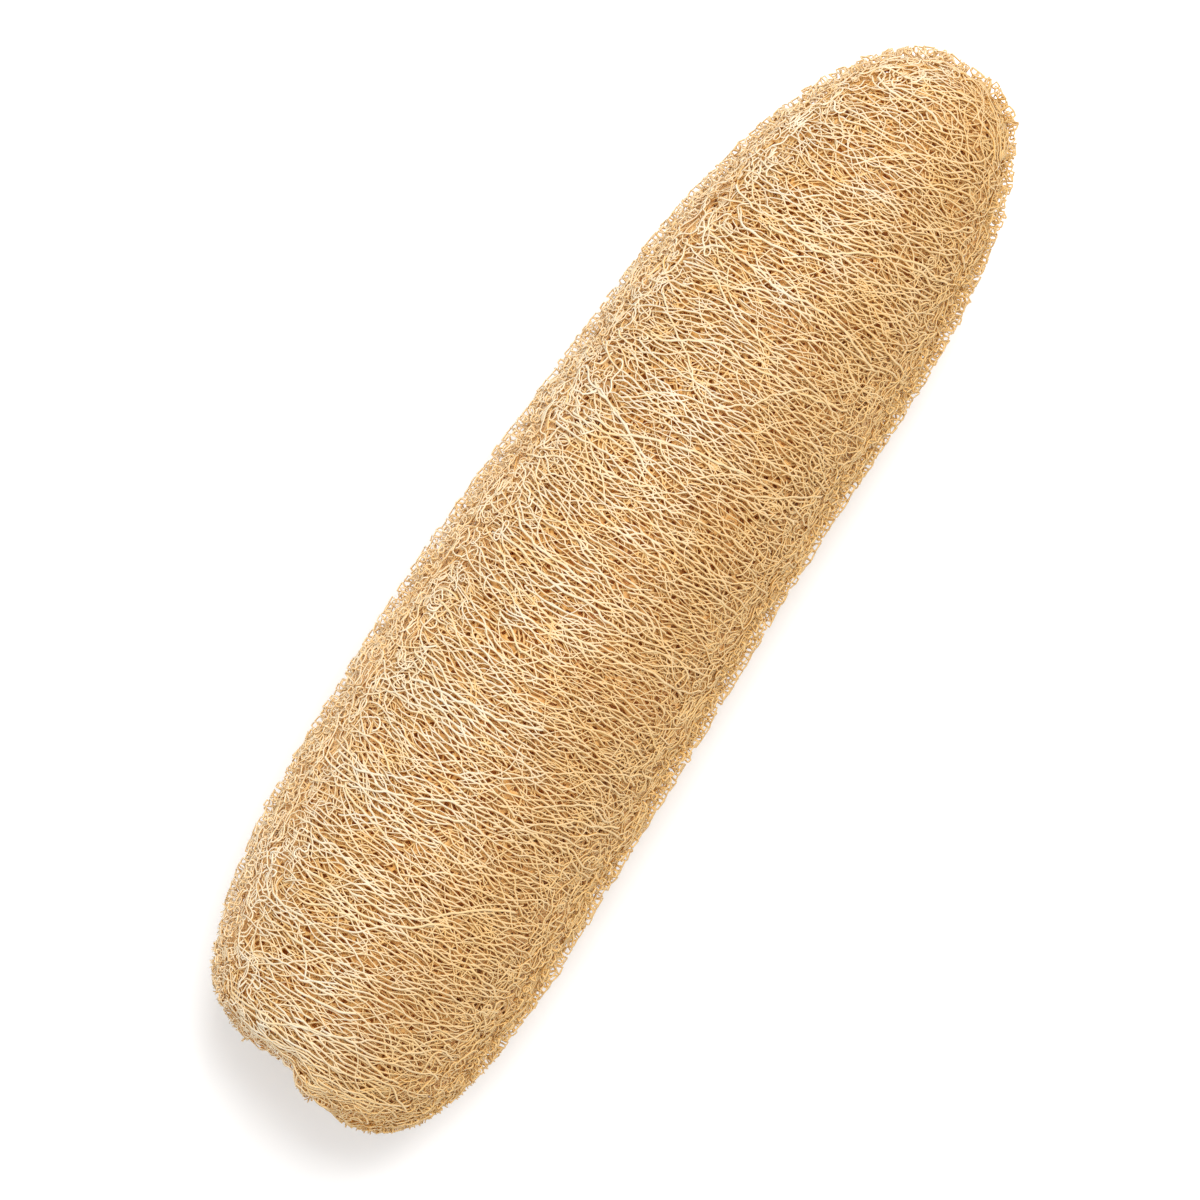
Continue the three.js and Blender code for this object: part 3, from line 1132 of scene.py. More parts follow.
@dataclass
class FibreLayer:
    """Fibres laid over the body, which cling together where they pass close by.

    They are laid at random, then slide apart where they are crowded, and then towards those that
    they nearly touch. Stars are hubs from which a few short fibres run out.
    """

    # Steps that spread points evenly over a square: powers of one over the plastic number.
    EVEN_STEPS = (0.7548776662, 0.5698402910)

    name: str
    body: SpongeBody
    kinds: tuple[FibreKind, ...]
    finish: bpy.types.Material
    tree: bpy.types.GeometryNodeTree
    seed: int
    foot_trim: tuple[float, float] = (0.3 * MM, 6 * MM)
    end_gap: float = 1.5 * MM
    fewest_points: int = 4
    curl_memory: float = 0.8
    curl_step: float = 0.6
    tip_looseness: float = 2.0
    tip_radii: tuple[float, float] = (10 * MM, 38 * MM)
    point_step: float = 1.2 * MM
    flow: float = 0.1
    flow_wave: float = 80 * MM
    stars: int = 0
    star_radius: float = 6 * MM
    star_kind: int = 1
    star_rays: tuple[int, int] = (6, 9)
    star_unevenness: float = 0.15
    star_shortest: float = 0.6
    star_margin: float = 12 * MM
    apart: float = 1.7 * MM
    apart_push: float = 0.3
    apart_rounds: int = 6
    cling: float = 0.7 * MM
    cling_pull: float = 0.4
    cling_rounds: int = 7
    tension: float = 0.12
    level: float = 0.5
    # How much browner a fibre is painted per millimetre under the skin, as painted shade.
    depth_shade: float = 0.7
    darkest: float = 1.3
    swell: float = 0.3 * MM
    swell_wave: float = 8 * MM
    dive: float = 0.45 * MM
    radius_spread: float = 0.25
    step: float = 1.35 * MM
    low_step: float = 3.4 * MM
    parts: int = 2

    def _starts(self, kind: FibreKind, rng: np.random.Generator) -> tuple[np.ndarray, np.ndarray]:
        """Spreads the fibres' middles evenly over the skin.

        Args:
            kind: The kind of fibre.
            rng: The seeded source of random numbers.

        Returns:
            Their turns, and their lengths along the profile.
        """
        reaches = self.body.reach
        area = running_sum(TAU * self.body.radius_at(reaches), reaches)
        number = np.arange(int(area[-1] / (kind.spacing * sum(kind.length) / 2)))
        along, around = self.EVEN_STEPS
        reach = np.interp((number * along + rng.random()) % 1 * area[-1], area, reaches)
        return (number * around + rng.random()) % 1 * TAU, reach

    def _in_zone(
        self, kind: FibreKind, turns: np.ndarray, lengths: np.ndarray, rng: np.random.Generator
    ) -> np.ndarray:
        """Tests which points of the fibres lie where their kind grows.

        Args:
            kind: The kind of fibre.
            turns: The points' turns, one row for each fibre.
            lengths: Their lengths along the profile.
            rng: The seeded source of random numbers, for where each fibre gives way.

        Returns:
            True for each point that does.
        """
        inside = (lengths > self.end_gap) & (lengths < self.body.reach[-1] - self.end_gap)
        edge = rng.uniform(*kind.zone_edge, (len(turns), 1))
        share = self.body.flank_share(lengths, turns)
        if kind.zone is Zone.BROAD_SIDES:
            foot = rng.uniform(*self.foot_trim, (len(turns), 1))
            return inside & (1 - share > edge**2) & (self.body.along_at(lengths) > foot)
        return inside & (share > edge)

    def _trace(self, kind: FibreKind, rng: np.random.Generator) -> tuple[np.ndarray, ...]:
        """Lays the fibres of one kind, each from its middle towards both ends.

        Args:
            kind: The kind.
            rng: The seeded source of random numbers.

        Returns:
            Turns and lengths of the points, one row for each fibre, and which points count.
        """
        body, step = self.body, self.point_step
        turn, reach = self._starts(kind, rng)
        count = len(turn)
        half = (rng.uniform(*kind.length, count) / 2 / step).astype(int) + 1
        most = int(half.max())
        turns, lengths = np.zeros((2, count, 2 * most + 1))
        turns[:, most], lengths[:, most] = turn, reach
        stream = Ripple(rng, self.flow_wave)
        lean = rng.normal(size=count) * kind.lean
        for sign in (1, -1):
            here_turn, here_reach = turn.copy(), reach.copy()
            wander, bend, spin = np.zeros((3, count))
            for k in range(1, most + 1):
                wander = kind.memory * wander + rng.normal(size=count) * kind.wander
                bend = self.curl_memory * bend + self.curl_step * rng.normal(size=count) * kind.curl
                spin = spin + bend * step / MM
                radius = np.maximum(body.radius_at(here_reach), LEAST_RADIUS)
                flow = self.flow * stream.at(body.points(here_reach, here_turn, 0))
                loose = 1 + self.tip_looseness * (1 - smoothstep(radius, *self.tip_radii))
                heading = loose * (lean + wander) + flow + spin
                here_reach = here_reach + sign * step * np.sin(heading)
                here_turn = here_turn + sign * step * np.cos(heading) / radius
                turns[:, most + sign * k], lengths[:, most + sign * k] = here_turn, here_reach
        within = np.abs(np.arange(-most, most + 1)) <= half[:, None]
        within &= self._in_zone(kind, turns, lengths, rng)
        for k in range(1, most + 1):
            within[:, most + k] &= within[:, most + k - 1]
            within[:, most - k] &= within[:, most - k + 1]
        return turns, lengths, within

    def _star_rays(self, rng: np.random.Generator) -> tuple[np.ndarray, ...]:
        """Lays short fibres that run out from the hubs of the stars.

        Args:
            rng: The seeded source of random numbers.

        Returns:
            What _trace returns for the fibres of one kind.
        """
        end = self.body.reach[-1]
        points = int(self.star_radius / self.point_step)
        reach = rng.uniform(self.star_margin, end - self.star_margin, self.stars)
        turn = rng.uniform(0, TAU, self.stars)
        rays = rng.integers(*self.star_rays, self.stars)
        hub = np.repeat(np.arange(self.stars), rays)
        spin = np.concatenate([np.arange(n) * TAU / n + rng.uniform(0, TAU) for n in rays])
        heading = (spin + rng.normal(size=len(spin)) * self.star_unevenness)[:, None]
        out = np.arange(points)[None, :] * self.point_step
        lengths = reach[hub][:, None] + out * np.sin(heading)
        turns = turn[hub][:, None] + out * np.cos(heading) / self.body.radius_at(lengths)
        inside = (lengths > 2 * self.end_gap) & (lengths < end - 2 * self.end_gap)
        longest = self.star_radius * rng.uniform(self.star_shortest, 1, (len(spin), 1))
        return turns, lengths, inside & (out < longest)

    def _settle(
        self, fibre: np.ndarray, place: np.ndarray, inner: np.ndarray, near: float, pull: float
    ) -> None:
        """Moves fibres that pass close by towards each other or apart, and keeps them smooth.

        Args:
            fibre: The number of each point's fibre.
            place: Turn, length and lift of each point, which are changed.
            inner: The points that aren't at an end of their fibre.
            near: How close they have to pass.
            pull: The share of the way that they move, negative to move them apart.
        """
        i, j, across, along = SkinGrid(self.body, near).pairs(place[:, 0], place[:, 1])
        other = fibre[i] != fibre[j]
        i, j, across, along = i[other], j[other], across[other], along[other]
        count = len(fibre)
        weight = 1 - np.hypot(across, along) / near
        total = np.bincount(i, weight, count)
        share = pull * np.minimum(total, 1) / (total + TINY)
        radius = np.maximum(self.body.radius_at(place[:, 1]), LEAST_RADIUS)
        lift = np.bincount(i, weight * place[j, 2], count) - total * place[:, 2]
        place[:, 0] += share * np.bincount(i, weight * across, count) / radius
        place[:, 1] += share * np.bincount(i, weight * along, count)
        place[:, 2] += self.level * np.maximum(share, 0) * lift
        bow = (place[inner - 1] + place[inner + 1]) / 2 - place[inner]
        place[inner] += self.tension * bow

    def _gather(self, rng: np.random.Generator) -> tuple[np.ndarray, ...]:
        """Lays the fibres of every kind, before they slide.

        Args:
            rng: The seeded source of random numbers.

        Returns:
            Turn, length and lift of each point, the number of each point's fibre, and the radius
            and the tint of each fibre.
        """
        lays = [(kind, self._trace(kind, rng)) for kind in self.kinds]
        if self.stars:
            lays.append((self.kinds[self.star_kind], self._star_rays(rng)))
        places, fibres, radii, tints, total = [], [], [], [], 0
        for kind, (turns, lengths, within) in lays:
            enough = within.sum(axis=1) >= self.fewest_points
            turns, lengths, within = turns[enough], lengths[enough], within[enough]
            count = len(turns)
            rows = np.nonzero(within)[0]
            depth = rng.uniform(*kind.depth, count)
            places.append(np.stack([turns[within], lengths[within], -depth[rows]], axis=1))
            fibres.append(rows + total)
            radii.append(kind.radius * (1 + self.radius_spread * rng.uniform(-1, 1, count)))
            tints.append(rng.uniform(*kind.tint, count))
            total += count
        return tuple(np.concatenate(parts) for parts in (places, fibres, radii, tints))

    def strands(self) -> Strands:
        """Lays out all the fibres.

        Returns:
            The fibres as polylines over the skin.
        """
        rng = np.random.default_rng(self.seed)
        place, fibre, radii, tints = self._gather(rng)
        is_first = np.concatenate([[True], fibre[1:] != fibre[:-1]])
        is_last = np.concatenate([is_first[1:], [True]])
        inner = np.flatnonzero(~(is_first | is_last))
        for _ in range(self.apart_rounds):
            self._settle(fibre, place, inner, self.apart, -self.apart_push)
        for _ in range(self.cling_rounds):
            self._settle(fibre, place, inner, self.cling, self.cling_pull)
        skin = self.body.points(place[:, 1], place[:, 0], 0)
        place[:, 2] += self.swell * Ripple(rng, self.swell_wave).at(skin)
        place[:, 2] -= self.body.fringe_depth(place[:, 1], place[:, 0])
        place[is_first | is_last, 2] -= self.dive
        # Painted shade: each point is browner the deeper it lies under the skin, on top of its fibre's own
        # tint.
        tint = tints[fibre] - self.depth_shade * place[:, 2] / MM
        tint = np.clip(tint, 0, self.darkest).tolist()
        found = Strands(self.body)
        starts = np.append(np.flatnonzero(is_first), len(fibre))
        for a, b, radius in zip(starts, starts[1:], radii.tolist()):
            found.add(*place[a:b].T.tolist(), [radius] * (b - a), tint[a:b])
        LOG.info("%s: %d fibres", self.name, len(radii))
        return found

    def build(self) -> list[bpy.types.Object]:
        """Makes the fibres' objects.

        Returns:
            The layer's objects: the low fibres, then the others from foot to crown.
        """
        pieces = []
        for k, mesh in enumerate(self.strands().to_meshes(self.name + "_lines", self.parts)):
            is_low = k == 0
            inputs = fibre_inputs(self.low_step if is_low else self.step, self.finish)
            label = self.name + "_low" if is_low else f"{self.name}_{k}"
            pieces.append(bake_nodes(label, mesh, self.tree, inputs))
        return pieces


# Painted shade: the web's finish is darker than the fibres above it, for the shade under them.
@dataclass
class WebSheet:
    """A soft sheet of tissue under the strands, with a round pit and a hole in each cell."""

    name: str
    body: SpongeBody
    weave: Weave
    finish: bpy.types.Material
    seed: int
    depth: float = 2.1 * MM
    sag: float = 0.7 * MM
    hole_share: float = 0.58
    hole_spread: float = 0.16
    hole_range: tuple[float, float] = (0.12, 0.75)
    flank_hole_share: float = 0.45
    swell: float = 0.35 * MM
    swell_wave: float = 7 * MM
    parts: int = 2
    lowest: float = 12 * MM
    ground_gap: float = 0.3 * MM

    def _hole_shares(self, pattern: CellPattern, rng: np.random.Generator) -> np.ndarray:
        """Draws how wide each cell's hole is.

        Args:
            pattern: The cells.
            rng: The seeded source of random numbers.

        Returns:
            Each hole's width against its cell's.
        """
        flank = np.cos(pattern.middles[:, 0]) ** 2
        share = self.hole_share + (self.flank_hole_share - self.hole_share) * flank
        return np.clip(share + self.hole_spread * rng.normal(size=len(share)), *self.hole_range)

    def _sunk(self, spots: np.ndarray, sag: float, swell: Ripple) -> np.ndarray:
        """Finds places of the sheet.

        Args:
            spots: Their turns and lengths along the profile.
            sag: How far under the sheet's own depth they lie.
            swell: The sheet's soft waves.

        Returns:
            One point for each of them.
        """
        turn, reach = spots[:, 0], spots[:, 1]
        depth = self.depth + self.body.fringe_depth(reach, turn)
        skin = self.body.points(reach, turn, 0)
        return self.body.points(reach, turn, self.swell * swell.at(skin) - depth - sag)

    def _rims(
        self, pattern: CellPattern, rim: np.ndarray, centre: np.ndarray, share: np.ndarray
    ) -> tuple[np.ndarray, np.ndarray]:
        """Makes a sloping rim round each cell's hole.

        Args:
            pattern: The cells.
            rim: The points of the cells' corners.
            centre: The points of their middles.
            share: The width of each cell's hole against the cell's.

        Returns:
            The sheet's points, the cells' corners first, and the corner numbers of its faces. The
            faces are two for each side of a cell, in the order of the pattern's sides.
        """
        first, last = np.tile(pattern.sides[:, 0], 2), np.tile(pattern.sides[:, 1], 2)
        cell = pattern.beside.T.ravel()
        keys = np.stack([np.tile(cell, 2), np.concatenate([first, last])], axis=1)
        keys, inner = np.unique(keys, axis=0, return_inverse=True)
        inner = inner.ravel()
        lip = centre[keys[:, 0]] + share[keys[:, 0], None] * (rim[keys[:, 1]] - centre[keys[:, 0]])
        points = np.concatenate([rim, lip])
        points[:, 2] = np.maximum(points[:, 2], self.ground_gap)
        half = len(cell)
        return points, np.stack([first, last, len(rim) + inner[half:], len(rim) + inner[:half]], axis=1)

    def build(self) -> list[bpy.types.Object]:
        """Makes the sheet, without the part that lies near the ground.

        Returns:
            The sheet's objects from foot to crown, each at the origin.
        """
        rng = np.random.default_rng(self.seed)
        pattern = CellPattern(self.body, self.weave, rng)
        swell = Ripple(rng, self.swell_wave)
        centre = self._sunk(pattern.middles, self.sag, swell)
        share = self._hole_shares(pattern, rng)
        points, quads = self._rims(pattern, self._sunk(pattern.corners, 0, swell), centre, share)
        turn, reach = pattern.corners.T
        outward = self.body.points(reach, turn, 0) - self.body.points(reach, turn, -MM)
        one_side = points[quads[:, 1]] - points[quads[:, 0]]
        across = np.cross(one_side, points[quads[:, 3]] - points[quads[:, 0]])
        inward = (across * outward[quads[:, 0]]).sum(axis=1) < 0
        quads[inward] = quads[inward][:, ::-1]
        middle = centre[pattern.beside.T.ravel()]
        bounds = np.quantile(centre[:, 0], np.linspace(0, 1, self.parts + 1))[1:-1]
        part = np.where(middle[:, 2] > self.lowest, np.searchsorted(bounds, middle[:, 0]), -1)
        pieces = []
        for k in range(self.parts):
            used, faces = np.unique(quads[part == k], return_inverse=True)
            faces = faces.reshape(-1, 4).tolist()
            pieces.append(faced_object(f"{self.name}_{k + 1}", points[used], faces, self.finish))
        return pieces


@dataclass
class EdgeLace:
    """Fins of small closed rings that stand on edge along the flanks, round both ends too."""

    body: SpongeBody
    finish: bpy.types.Material
    tree: bpy.types.GeometryNodeTree
    seed: int = 33
    tilts: tuple[float, ...] = (0.0, 10.0, 21.0)
    width: float = 3.1 * MM
    rows: int = 2
    pitch: float = 1.42 * MM
    jitter: float = 0.3
    edge_gap: float = 0.25
    crown_full: float = 0.95
    crown_thinning: float = 0.3
    foot_range: tuple[float, float] = (2 * MM, 20 * MM)
    shrink: float = 0.93
    longest: float = 3.2 * MM
    open_share: float = 0.16
    end_open_share: float = 0.45
    rough: float = 0.28 * MM
    crown_rough: float = 1.5
    rough_wave: float = 5 * MM
    band: float = 2.6 * MM
    lean: float = 0.45
    curl: float = 0.16 * MM
    radius: float = 0.25 * MM
    step: float = 0.72 * MM

    def _seeds(self, rng: np.random.Generator) -> np.ndarray:
        """Draws the rings' middles on a strip.

        Args:
            rng: The seeded source of random numbers.

        Returns:
            How far along the profile and how deep each of them lies.
        """
        columns = int(self.body.reach[-1] / self.pitch)
        column, row = np.meshgrid(np.arange(columns), np.arange(self.rows), indexing="ij")
        along = (column + 0.5 * (row % 2)) * self.pitch
        deep = (row + 0.5) * self.width / self.rows
        seeds = np.stack([along.ravel(), deep.ravel()], axis=1)
        seeds += self.jitter * self.pitch * rng.normal(size=seeds.shape)
        edge = self.edge_gap * self.pitch
        seeds[:, 1] = np.clip(seeds[:, 1], edge, self.width - edge)
        crown = smoothstep(seeds[:, 0] / self.body.reach[-1], CROWN_FROM, self.crown_full)
        return seeds[rng.random(len(seeds)) > self.crown_thinning * crown]

    def _rings(self, rng: np.random.Generator) -> list[np.ndarray]:
        """The outlines of a strip's cells, which share their walls.

        Args:
            rng: The seeded source of random numbers.

        Returns:
            One array of corners for each closed ring.
        """
        seeds = self._seeds(rng)
        above = seeds * [1, -1]
        below = seeds * [1, -1] + [0, 2 * self.width]
        spots = np.concatenate([seeds, above, below]) / MM
        faces = delaunay_2d_cdt([Vector(p) for p in spots], [], [], 0, JOIN_DISTANCE)[2]
        faces = np.array([f for f in faces if len(f) == 3])
        centre = circle_centres(spots[faces[:, 0]], spots[faces[:, 1]], spots[faces[:, 2]]) * MM
        owner = faces.ravel()
        corner = np.repeat(centre, 3, axis=0)
        mine = owner < len(seeds)
        owner, corner = owner[mine], corner[mine]
        away = corner - seeds[owner]
        order = np.lexsort((np.arctan2(away[:, 1], away[:, 0]), owner))
        owner, corner = owner[order], corner[order]
        cuts = np.flatnonzero(np.diff(owner)) + 1
        return [ring for ring in np.split(corner, cuts) if np.ptp(ring[:, 0]) < self.longest]

    def _lay_ring(
        self,
        found: Strands,
        turn: float,
        ring: np.ndarray,
        height: float,
        ripple: Ripple,
        rng: np.random.Generator,
    ) -> None:
        """Lays one ring, which leans a little out of its fin.

        Args:
            found: The polylines that it is added to.
            turn: The turn at which its fin stands.
            ring: Its corners, as lengths along the profile and depths.
            height: How much higher or lower it may stand than the skin.
            ripple: How its neighbourhood stands, from about -1 to 1.
            rng: The seeded source of random numbers.
        """
        middle = ring.mean(axis=0)
        away = self.shrink * (ring - middle)
        away = np.concatenate([away, away[:1]])
        along, deep = (middle + away).T
        reaches = np.clip(along, TIP_GAP, self.body.reach[-1] - TIP_GAP)
        aside = self.band * rng.normal() + self.lean * rng.normal() * away[:, 0]
        aside = aside + self.curl * rng.normal(size=len(away))
        turns = turn + aside / np.maximum(self.body.radius_at(reaches), LEAST_RADIUS)
        lifts = height * ripple.at(self.body.points(reaches, turns, 0)) - deep
        found.add_even(turns, reaches, lifts, self.radius, rng)

    def _fin(self, found: Strands, turn: float, rng: np.random.Generator) -> None:
        """Lays one fin of rings from the foot to the crown.

        Args:
            found: The polylines that its rings are added to.
            turn: The turn at which it stands.
            rng: The seeded source of random numbers.
        """
        ripple = Ripple(rng, self.rough_wave)
        for ring in self._rings(rng):
            along, deep = ring.mean(axis=0)
            crown = float(smoothstep(along / self.body.reach[-1], CROWN_FROM, self.crown_full))
            foot = 1 - float(smoothstep(self.body.along_at(along), *self.foot_range))
            open_share = self.open_share + (self.end_open_share - self.open_share) * (crown + foot)
            if deep < self.width / self.rows and rng.random() < open_share:
                continue
            height = (1 + self.crown_rough * crown) * self.rough
            self._lay_ring(found, turn, ring, height, ripple, rng)

    def build(self) -> list[bpy.types.Object]:
        """Makes the fins.

        Returns:
            Their object, at the origin.
        """
        rng = np.random.default_rng(self.seed)
        found = Strands(self.body)
        for tilt in self.tilts:
            self._fin(found, math.radians(tilt), rng)
            self._fin(found, math.pi - math.radians(tilt), rng)
        return [bake_whole("edge_lace", found, self.tree, fibre_inputs(self.step, self.finish))]


@dataclass
class LooseEnds:
    """Thin fibres that curl out of the skin here and there, and cut or torn ends at the foot."""

    body: SpongeBody
    finish: bpy.types.Material
    tree: bpy.types.GeometryNodeTree
    seed: int = 31
    curls: int = 120
    crown_curls: int = 70
    crown_band: float = 0.15
    loops: tuple[float, float] = (0.6, 1.6)
    crests: tuple[float, float] = (-0.5 * MM, 0.3 * MM)
    heading_spread: float = 0.4
    band: float = 3.0 * MM
    pitch: float = 1.5 * MM
    pitch_range: tuple[float, float] = (0.5, 1.5)
    loop: tuple[float, float] = (0.5 * MM, 0.9 * MM)
    loop_spread: float = 0.15
    loop_range: tuple[float, float] = (0.6, 1.4)
    drift: float = 0.1 * MM
    radius: float = 0.2 * MM
    points_per_loop: int = 8
    fewest_points: int = 6
    stride_range: tuple[float, float] = (0.8, 1.2)
    stubs: int = 240
    stubs_at_root: tuple[int, int] = (1, 4)
    stub_length: float = 1.8 * MM
    stub_share: float = 0.2
    stub_root: float = 1.0 * MM
    stub_lean: float = 0.6 * MM
    stub_points: tuple[float, float, float] = (-0.5, 0.45, 1.0)
    stub_taper: tuple[float, float, float] = (1.1, 1.0, 0.8)
    stub_from: float = 1 * MM
    stub_reach: float = 62 * MM
    step: float = 0.55 * MM

    def _curl(
        self, found: Strands, turn: float, reach: float, crest: float, loops: float, rng: np.random.Generator
    ) -> None:
        """Lays one fibre that loops along the body, its loops standing on edge.

        Args:
            found: The polylines that it is added to.
            turn: The turn at which it lies.
            reach: Where it starts along the profile.
            crest: The height of its loops' tops over the skin.
            loops: How many loops it makes.
            rng: The seeded source of random numbers.
        """
        body = self.body
        heading = rng.normal() * self.heading_spread
        count = max(int(loops * self.points_per_loop), self.fewest_points)
        stride = TAU / self.points_per_loop
        phase = np.cumsum(stride * rng.uniform(*self.stride_range, count)) + rng.uniform(0, TAU)
        along = np.cumsum(self.pitch / self.points_per_loop * rng.uniform(*self.pitch_range, count))
        mean_size = rng.uniform(*self.loop)
        size = mean_size * np.clip(1 + self.loop_spread * rng.normal(size=count), *self.loop_range)
        along = along + size * np.cos(phase)
        drift = np.cumsum(rng.normal(size=count)) * self.drift
        reaches = np.clip(reach + along * math.cos(heading), TIP_GAP, body.reach[-1] - TIP_GAP)
        here = np.maximum(body.radius_at(reaches), LEAST_RADIUS)
        turns = turn + (along * math.sin(heading) + drift) / here
        found.add_even(turns, reaches, crest - size * (1 - np.sin(phase)), self.radius, rng)

    def _stub(self, found: Strands, rng: np.random.Generator) -> None:
        """Lays a few cut or torn ends from one root, on a flank near the foot.

        Args:
            found: The polylines that they are added to.
            rng: The seeded source of random numbers.
        """
        reach = rng.uniform(0, 1) * self.stub_reach + self.stub_from
        here = max(float(self.body.radius_at(reach)), LEAST_RADIUS)
        turn = (0 if rng.random() < 0.5 else math.pi) + rng.normal() * self.band / here
        share = np.array(self.stub_points)
        radii = [part * self.radius for part in self.stub_taper]
        for _ in range(int(rng.integers(*self.stubs_at_root))):
            lean = rng.normal(size=2) * self.stub_lean
            rise = self.stub_length * rng.uniform(self.stub_share, 1)
            turns = turn + lean[0] * share / here
            reaches = np.clip(reach + lean[1] * share, TIP_GAP, None)
            lifts = rise * share - self.stub_root
            tints = [float(rng.random())] * len(share)
            found.add(turns.tolist(), reaches.tolist(), lifts.tolist(), radii, tints)

    def build(self) -> list[bpy.types.Object]:
        """Makes the curls and the cut ends.

        Returns:
            Their object, at the origin.
        """
        rng = np.random.default_rng(self.seed)
        found = Strands(self.body)
        end = self.body.reach[-1]
        for k in range(self.curls + self.crown_curls):
            at_crown = k >= self.curls
            if at_crown:
                turn = rng.integers(0, 2) * math.pi + rng.normal() * self.crown_band
            else:
                turn = rng.uniform(0, TAU)
            reach = rng.uniform(CROWN_FROM if at_crown else 0, 1) * end
            self._curl(found, turn, reach, rng.uniform(*self.crests), rng.uniform(*self.loops), rng)
        for _ in range(self.stubs):
            self._stub(found, rng)
        inputs = fibre_inputs(self.step, self.finish, closed=True)
        return [bake_whole("loose_ends", found, self.tree, inputs)]


# Painted shade: the inner surface's finish is dark, for the shade deep inside the sponge.
@dataclass
class InnerSurface:
    """The depth of the sponge, where the fibres are too dense to see between."""

    body: SpongeBody
    finish: bpy.types.Material
    depth: float = 4.6 * MM
    relief: float = 0.7 * MM
    relief_wave: float = 5 * MM
    ends: tuple[float, float] = (0.03, 0.97)
    rings: int = 70
    columns: int = 70
    seed: int = 5

    def build(self) -> list[bpy.types.Object]:
        """Makes a closed, rippled surface under the nets.

        Returns:
            Its object, at the origin.
        """
        rng = np.random.default_rng(self.seed)
        rings = np.linspace(*self.ends, self.rings) * self.body.reach[-1]
        turns = np.arange(self.columns) * TAU / self.columns
        reach, turn = (grid.ravel() for grid in np.meshgrid(rings, turns, indexing="ij"))
        skin = self.body.points(reach, turn, 0)
        lift = self.relief * Ripple(rng, self.relief_wave).at(skin) - self.depth
        lift -= self.body.fringe_depth(reach, turn)
        points = self.body.points(reach, turn, lift)
        points[:, 2] = np.maximum(points[:, 2], self.depth / 2)
        ring = np.arange(self.rings * self.columns).reshape(self.rings, self.columns)
        here, there = ring[:-1], ring[1:]
        around = [here, np.roll(here, -1, axis=1), np.roll(there, -1, axis=1), there]
        quads = np.stack(around, axis=-1).reshape(-1, 4).tolist()
        foot, crown = len(points), len(points) + 1
        tips = [points[ring[0]].mean(axis=0), points[ring[-1]].mean(axis=0)]
        points = np.concatenate([points, tips])
        fans = [[int(b), int(a), foot] for a, b in zip(ring[0], np.roll(ring[0], -1))]
        fans += [[int(a), int(b), crown] for a, b in zip(ring[-1], np.roll(ring[-1], -1))]
        return [faced_object("inner_surface", points, quads + fans, self.finish)]


@dataclass
class Studio:
    """The pale floor, the soft light and the camera over the sponge.

    The light's place is given as the camera sees it: to the right, up and towards the camera.
    """

    lens: float = 135.0
    sensor: float = 36.0
    picture_width: float = 303.3 * MM
    focus_height: float = 40 * MM
    roll: float = math.radians(57.19)
    origin_right: float = 4.0 * MM
    origin_up: float = 8.4 * MM
    clip_end: float = 100.0
    floor_size: float = 6.0
    floor_colour: tuple[float, float, float] = (0.93, 0.93, 0.93)
    floor_roughness: float = 0.9
    sky_strength: float = 0.97
    key_place: tuple[float, float, float] = (0.45, 0.86, 2.2)
    key_size: float = 1.0
    key_power: float = 42.0

    def _in_picture(self, right: float, up: float, towards: float) -> Vector:
        """Turns a vector that is given as the camera sees it.

        Args:
            right: Its part to the right.
            up: Its part up the picture.
            towards: Its part towards the camera.

        Returns:
            The same vector in the row's frame.
        """
        across = Vector((math.cos(self.roll), -math.sin(self.roll), 0))
        upward = Vector((math.sin(self.roll), math.cos(self.roll), 0))
        return across * right + upward * up + Vector((0, 0, towards))

    def floor(self) -> None:
        """Makes the floor."""
        paper = bpy.data.materials.new("paper")
        paper.use_nodes = True
        shader = paper.node_tree.nodes["Principled BSDF"]
        shader.inputs["Base Color"].default_value = (*self.floor_colour, 1)
        shader.inputs["Roughness"].default_value = self.floor_roughness
        corners = np.array([(-1, -1, 0), (1, -1, 0), (1, 1, 0), (-1, 1, 0)]) * self.floor_size / 2
        floor = faced_object("floor", corners, [[0, 1, 2, 3]], paper)

    def camera(self) -> None:
        """Makes the camera, which looks straight down with the crown to the upper right."""
        data = bpy.data.cameras.new("camera")
        data.lens = self.lens
        data.sensor_width = self.sensor
        data.clip_end = self.clip_end
        camera = bpy.data.objects.new("camera", data)
        distance = self.picture_width * self.lens / self.sensor
        camera.location = self._in_picture(-self.origin_right, -self.origin_up, self.focus_height + distance)
        camera.rotation_euler = Euler((0, 0, -self.roll))
        bpy.context.scene.collection.objects.link(camera)
        bpy.context.scene.camera = camera

    def lights(self) -> None:
        """Adds the sky and one square soft light that faces the sponge."""
        world = bpy.data.worlds.new("studio")
        world.use_nodes = True
        world.node_tree.nodes["Background"].inputs["Color"].default_value = (1, 1, 1, 1)
        world.node_tree.nodes["Background"].inputs["Strength"].default_value = self.sky_strength
        bpy.context.scene.world = world
        data = bpy.data.lights.new("key", "AREA")
        data.size = self.key_size
        data.energy = self.key_power
        light = bpy.data.objects.new("key", data)
        light.location = self._in_picture(*self.key_place)
        light.rotation_mode = "QUATERNION"
        light.rotation_quaternion = (-light.location).to_track_quat("-Z", "Y")
        bpy.context.scene.collection.objects.link(light)

    def build(self) -> None:
        """Makes everything round the sponge and sets how its colours are shown."""
        self.floor()
        self.camera()
        self.lights()
        bpy.context.scene.view_settings.view_transform = "Standard"


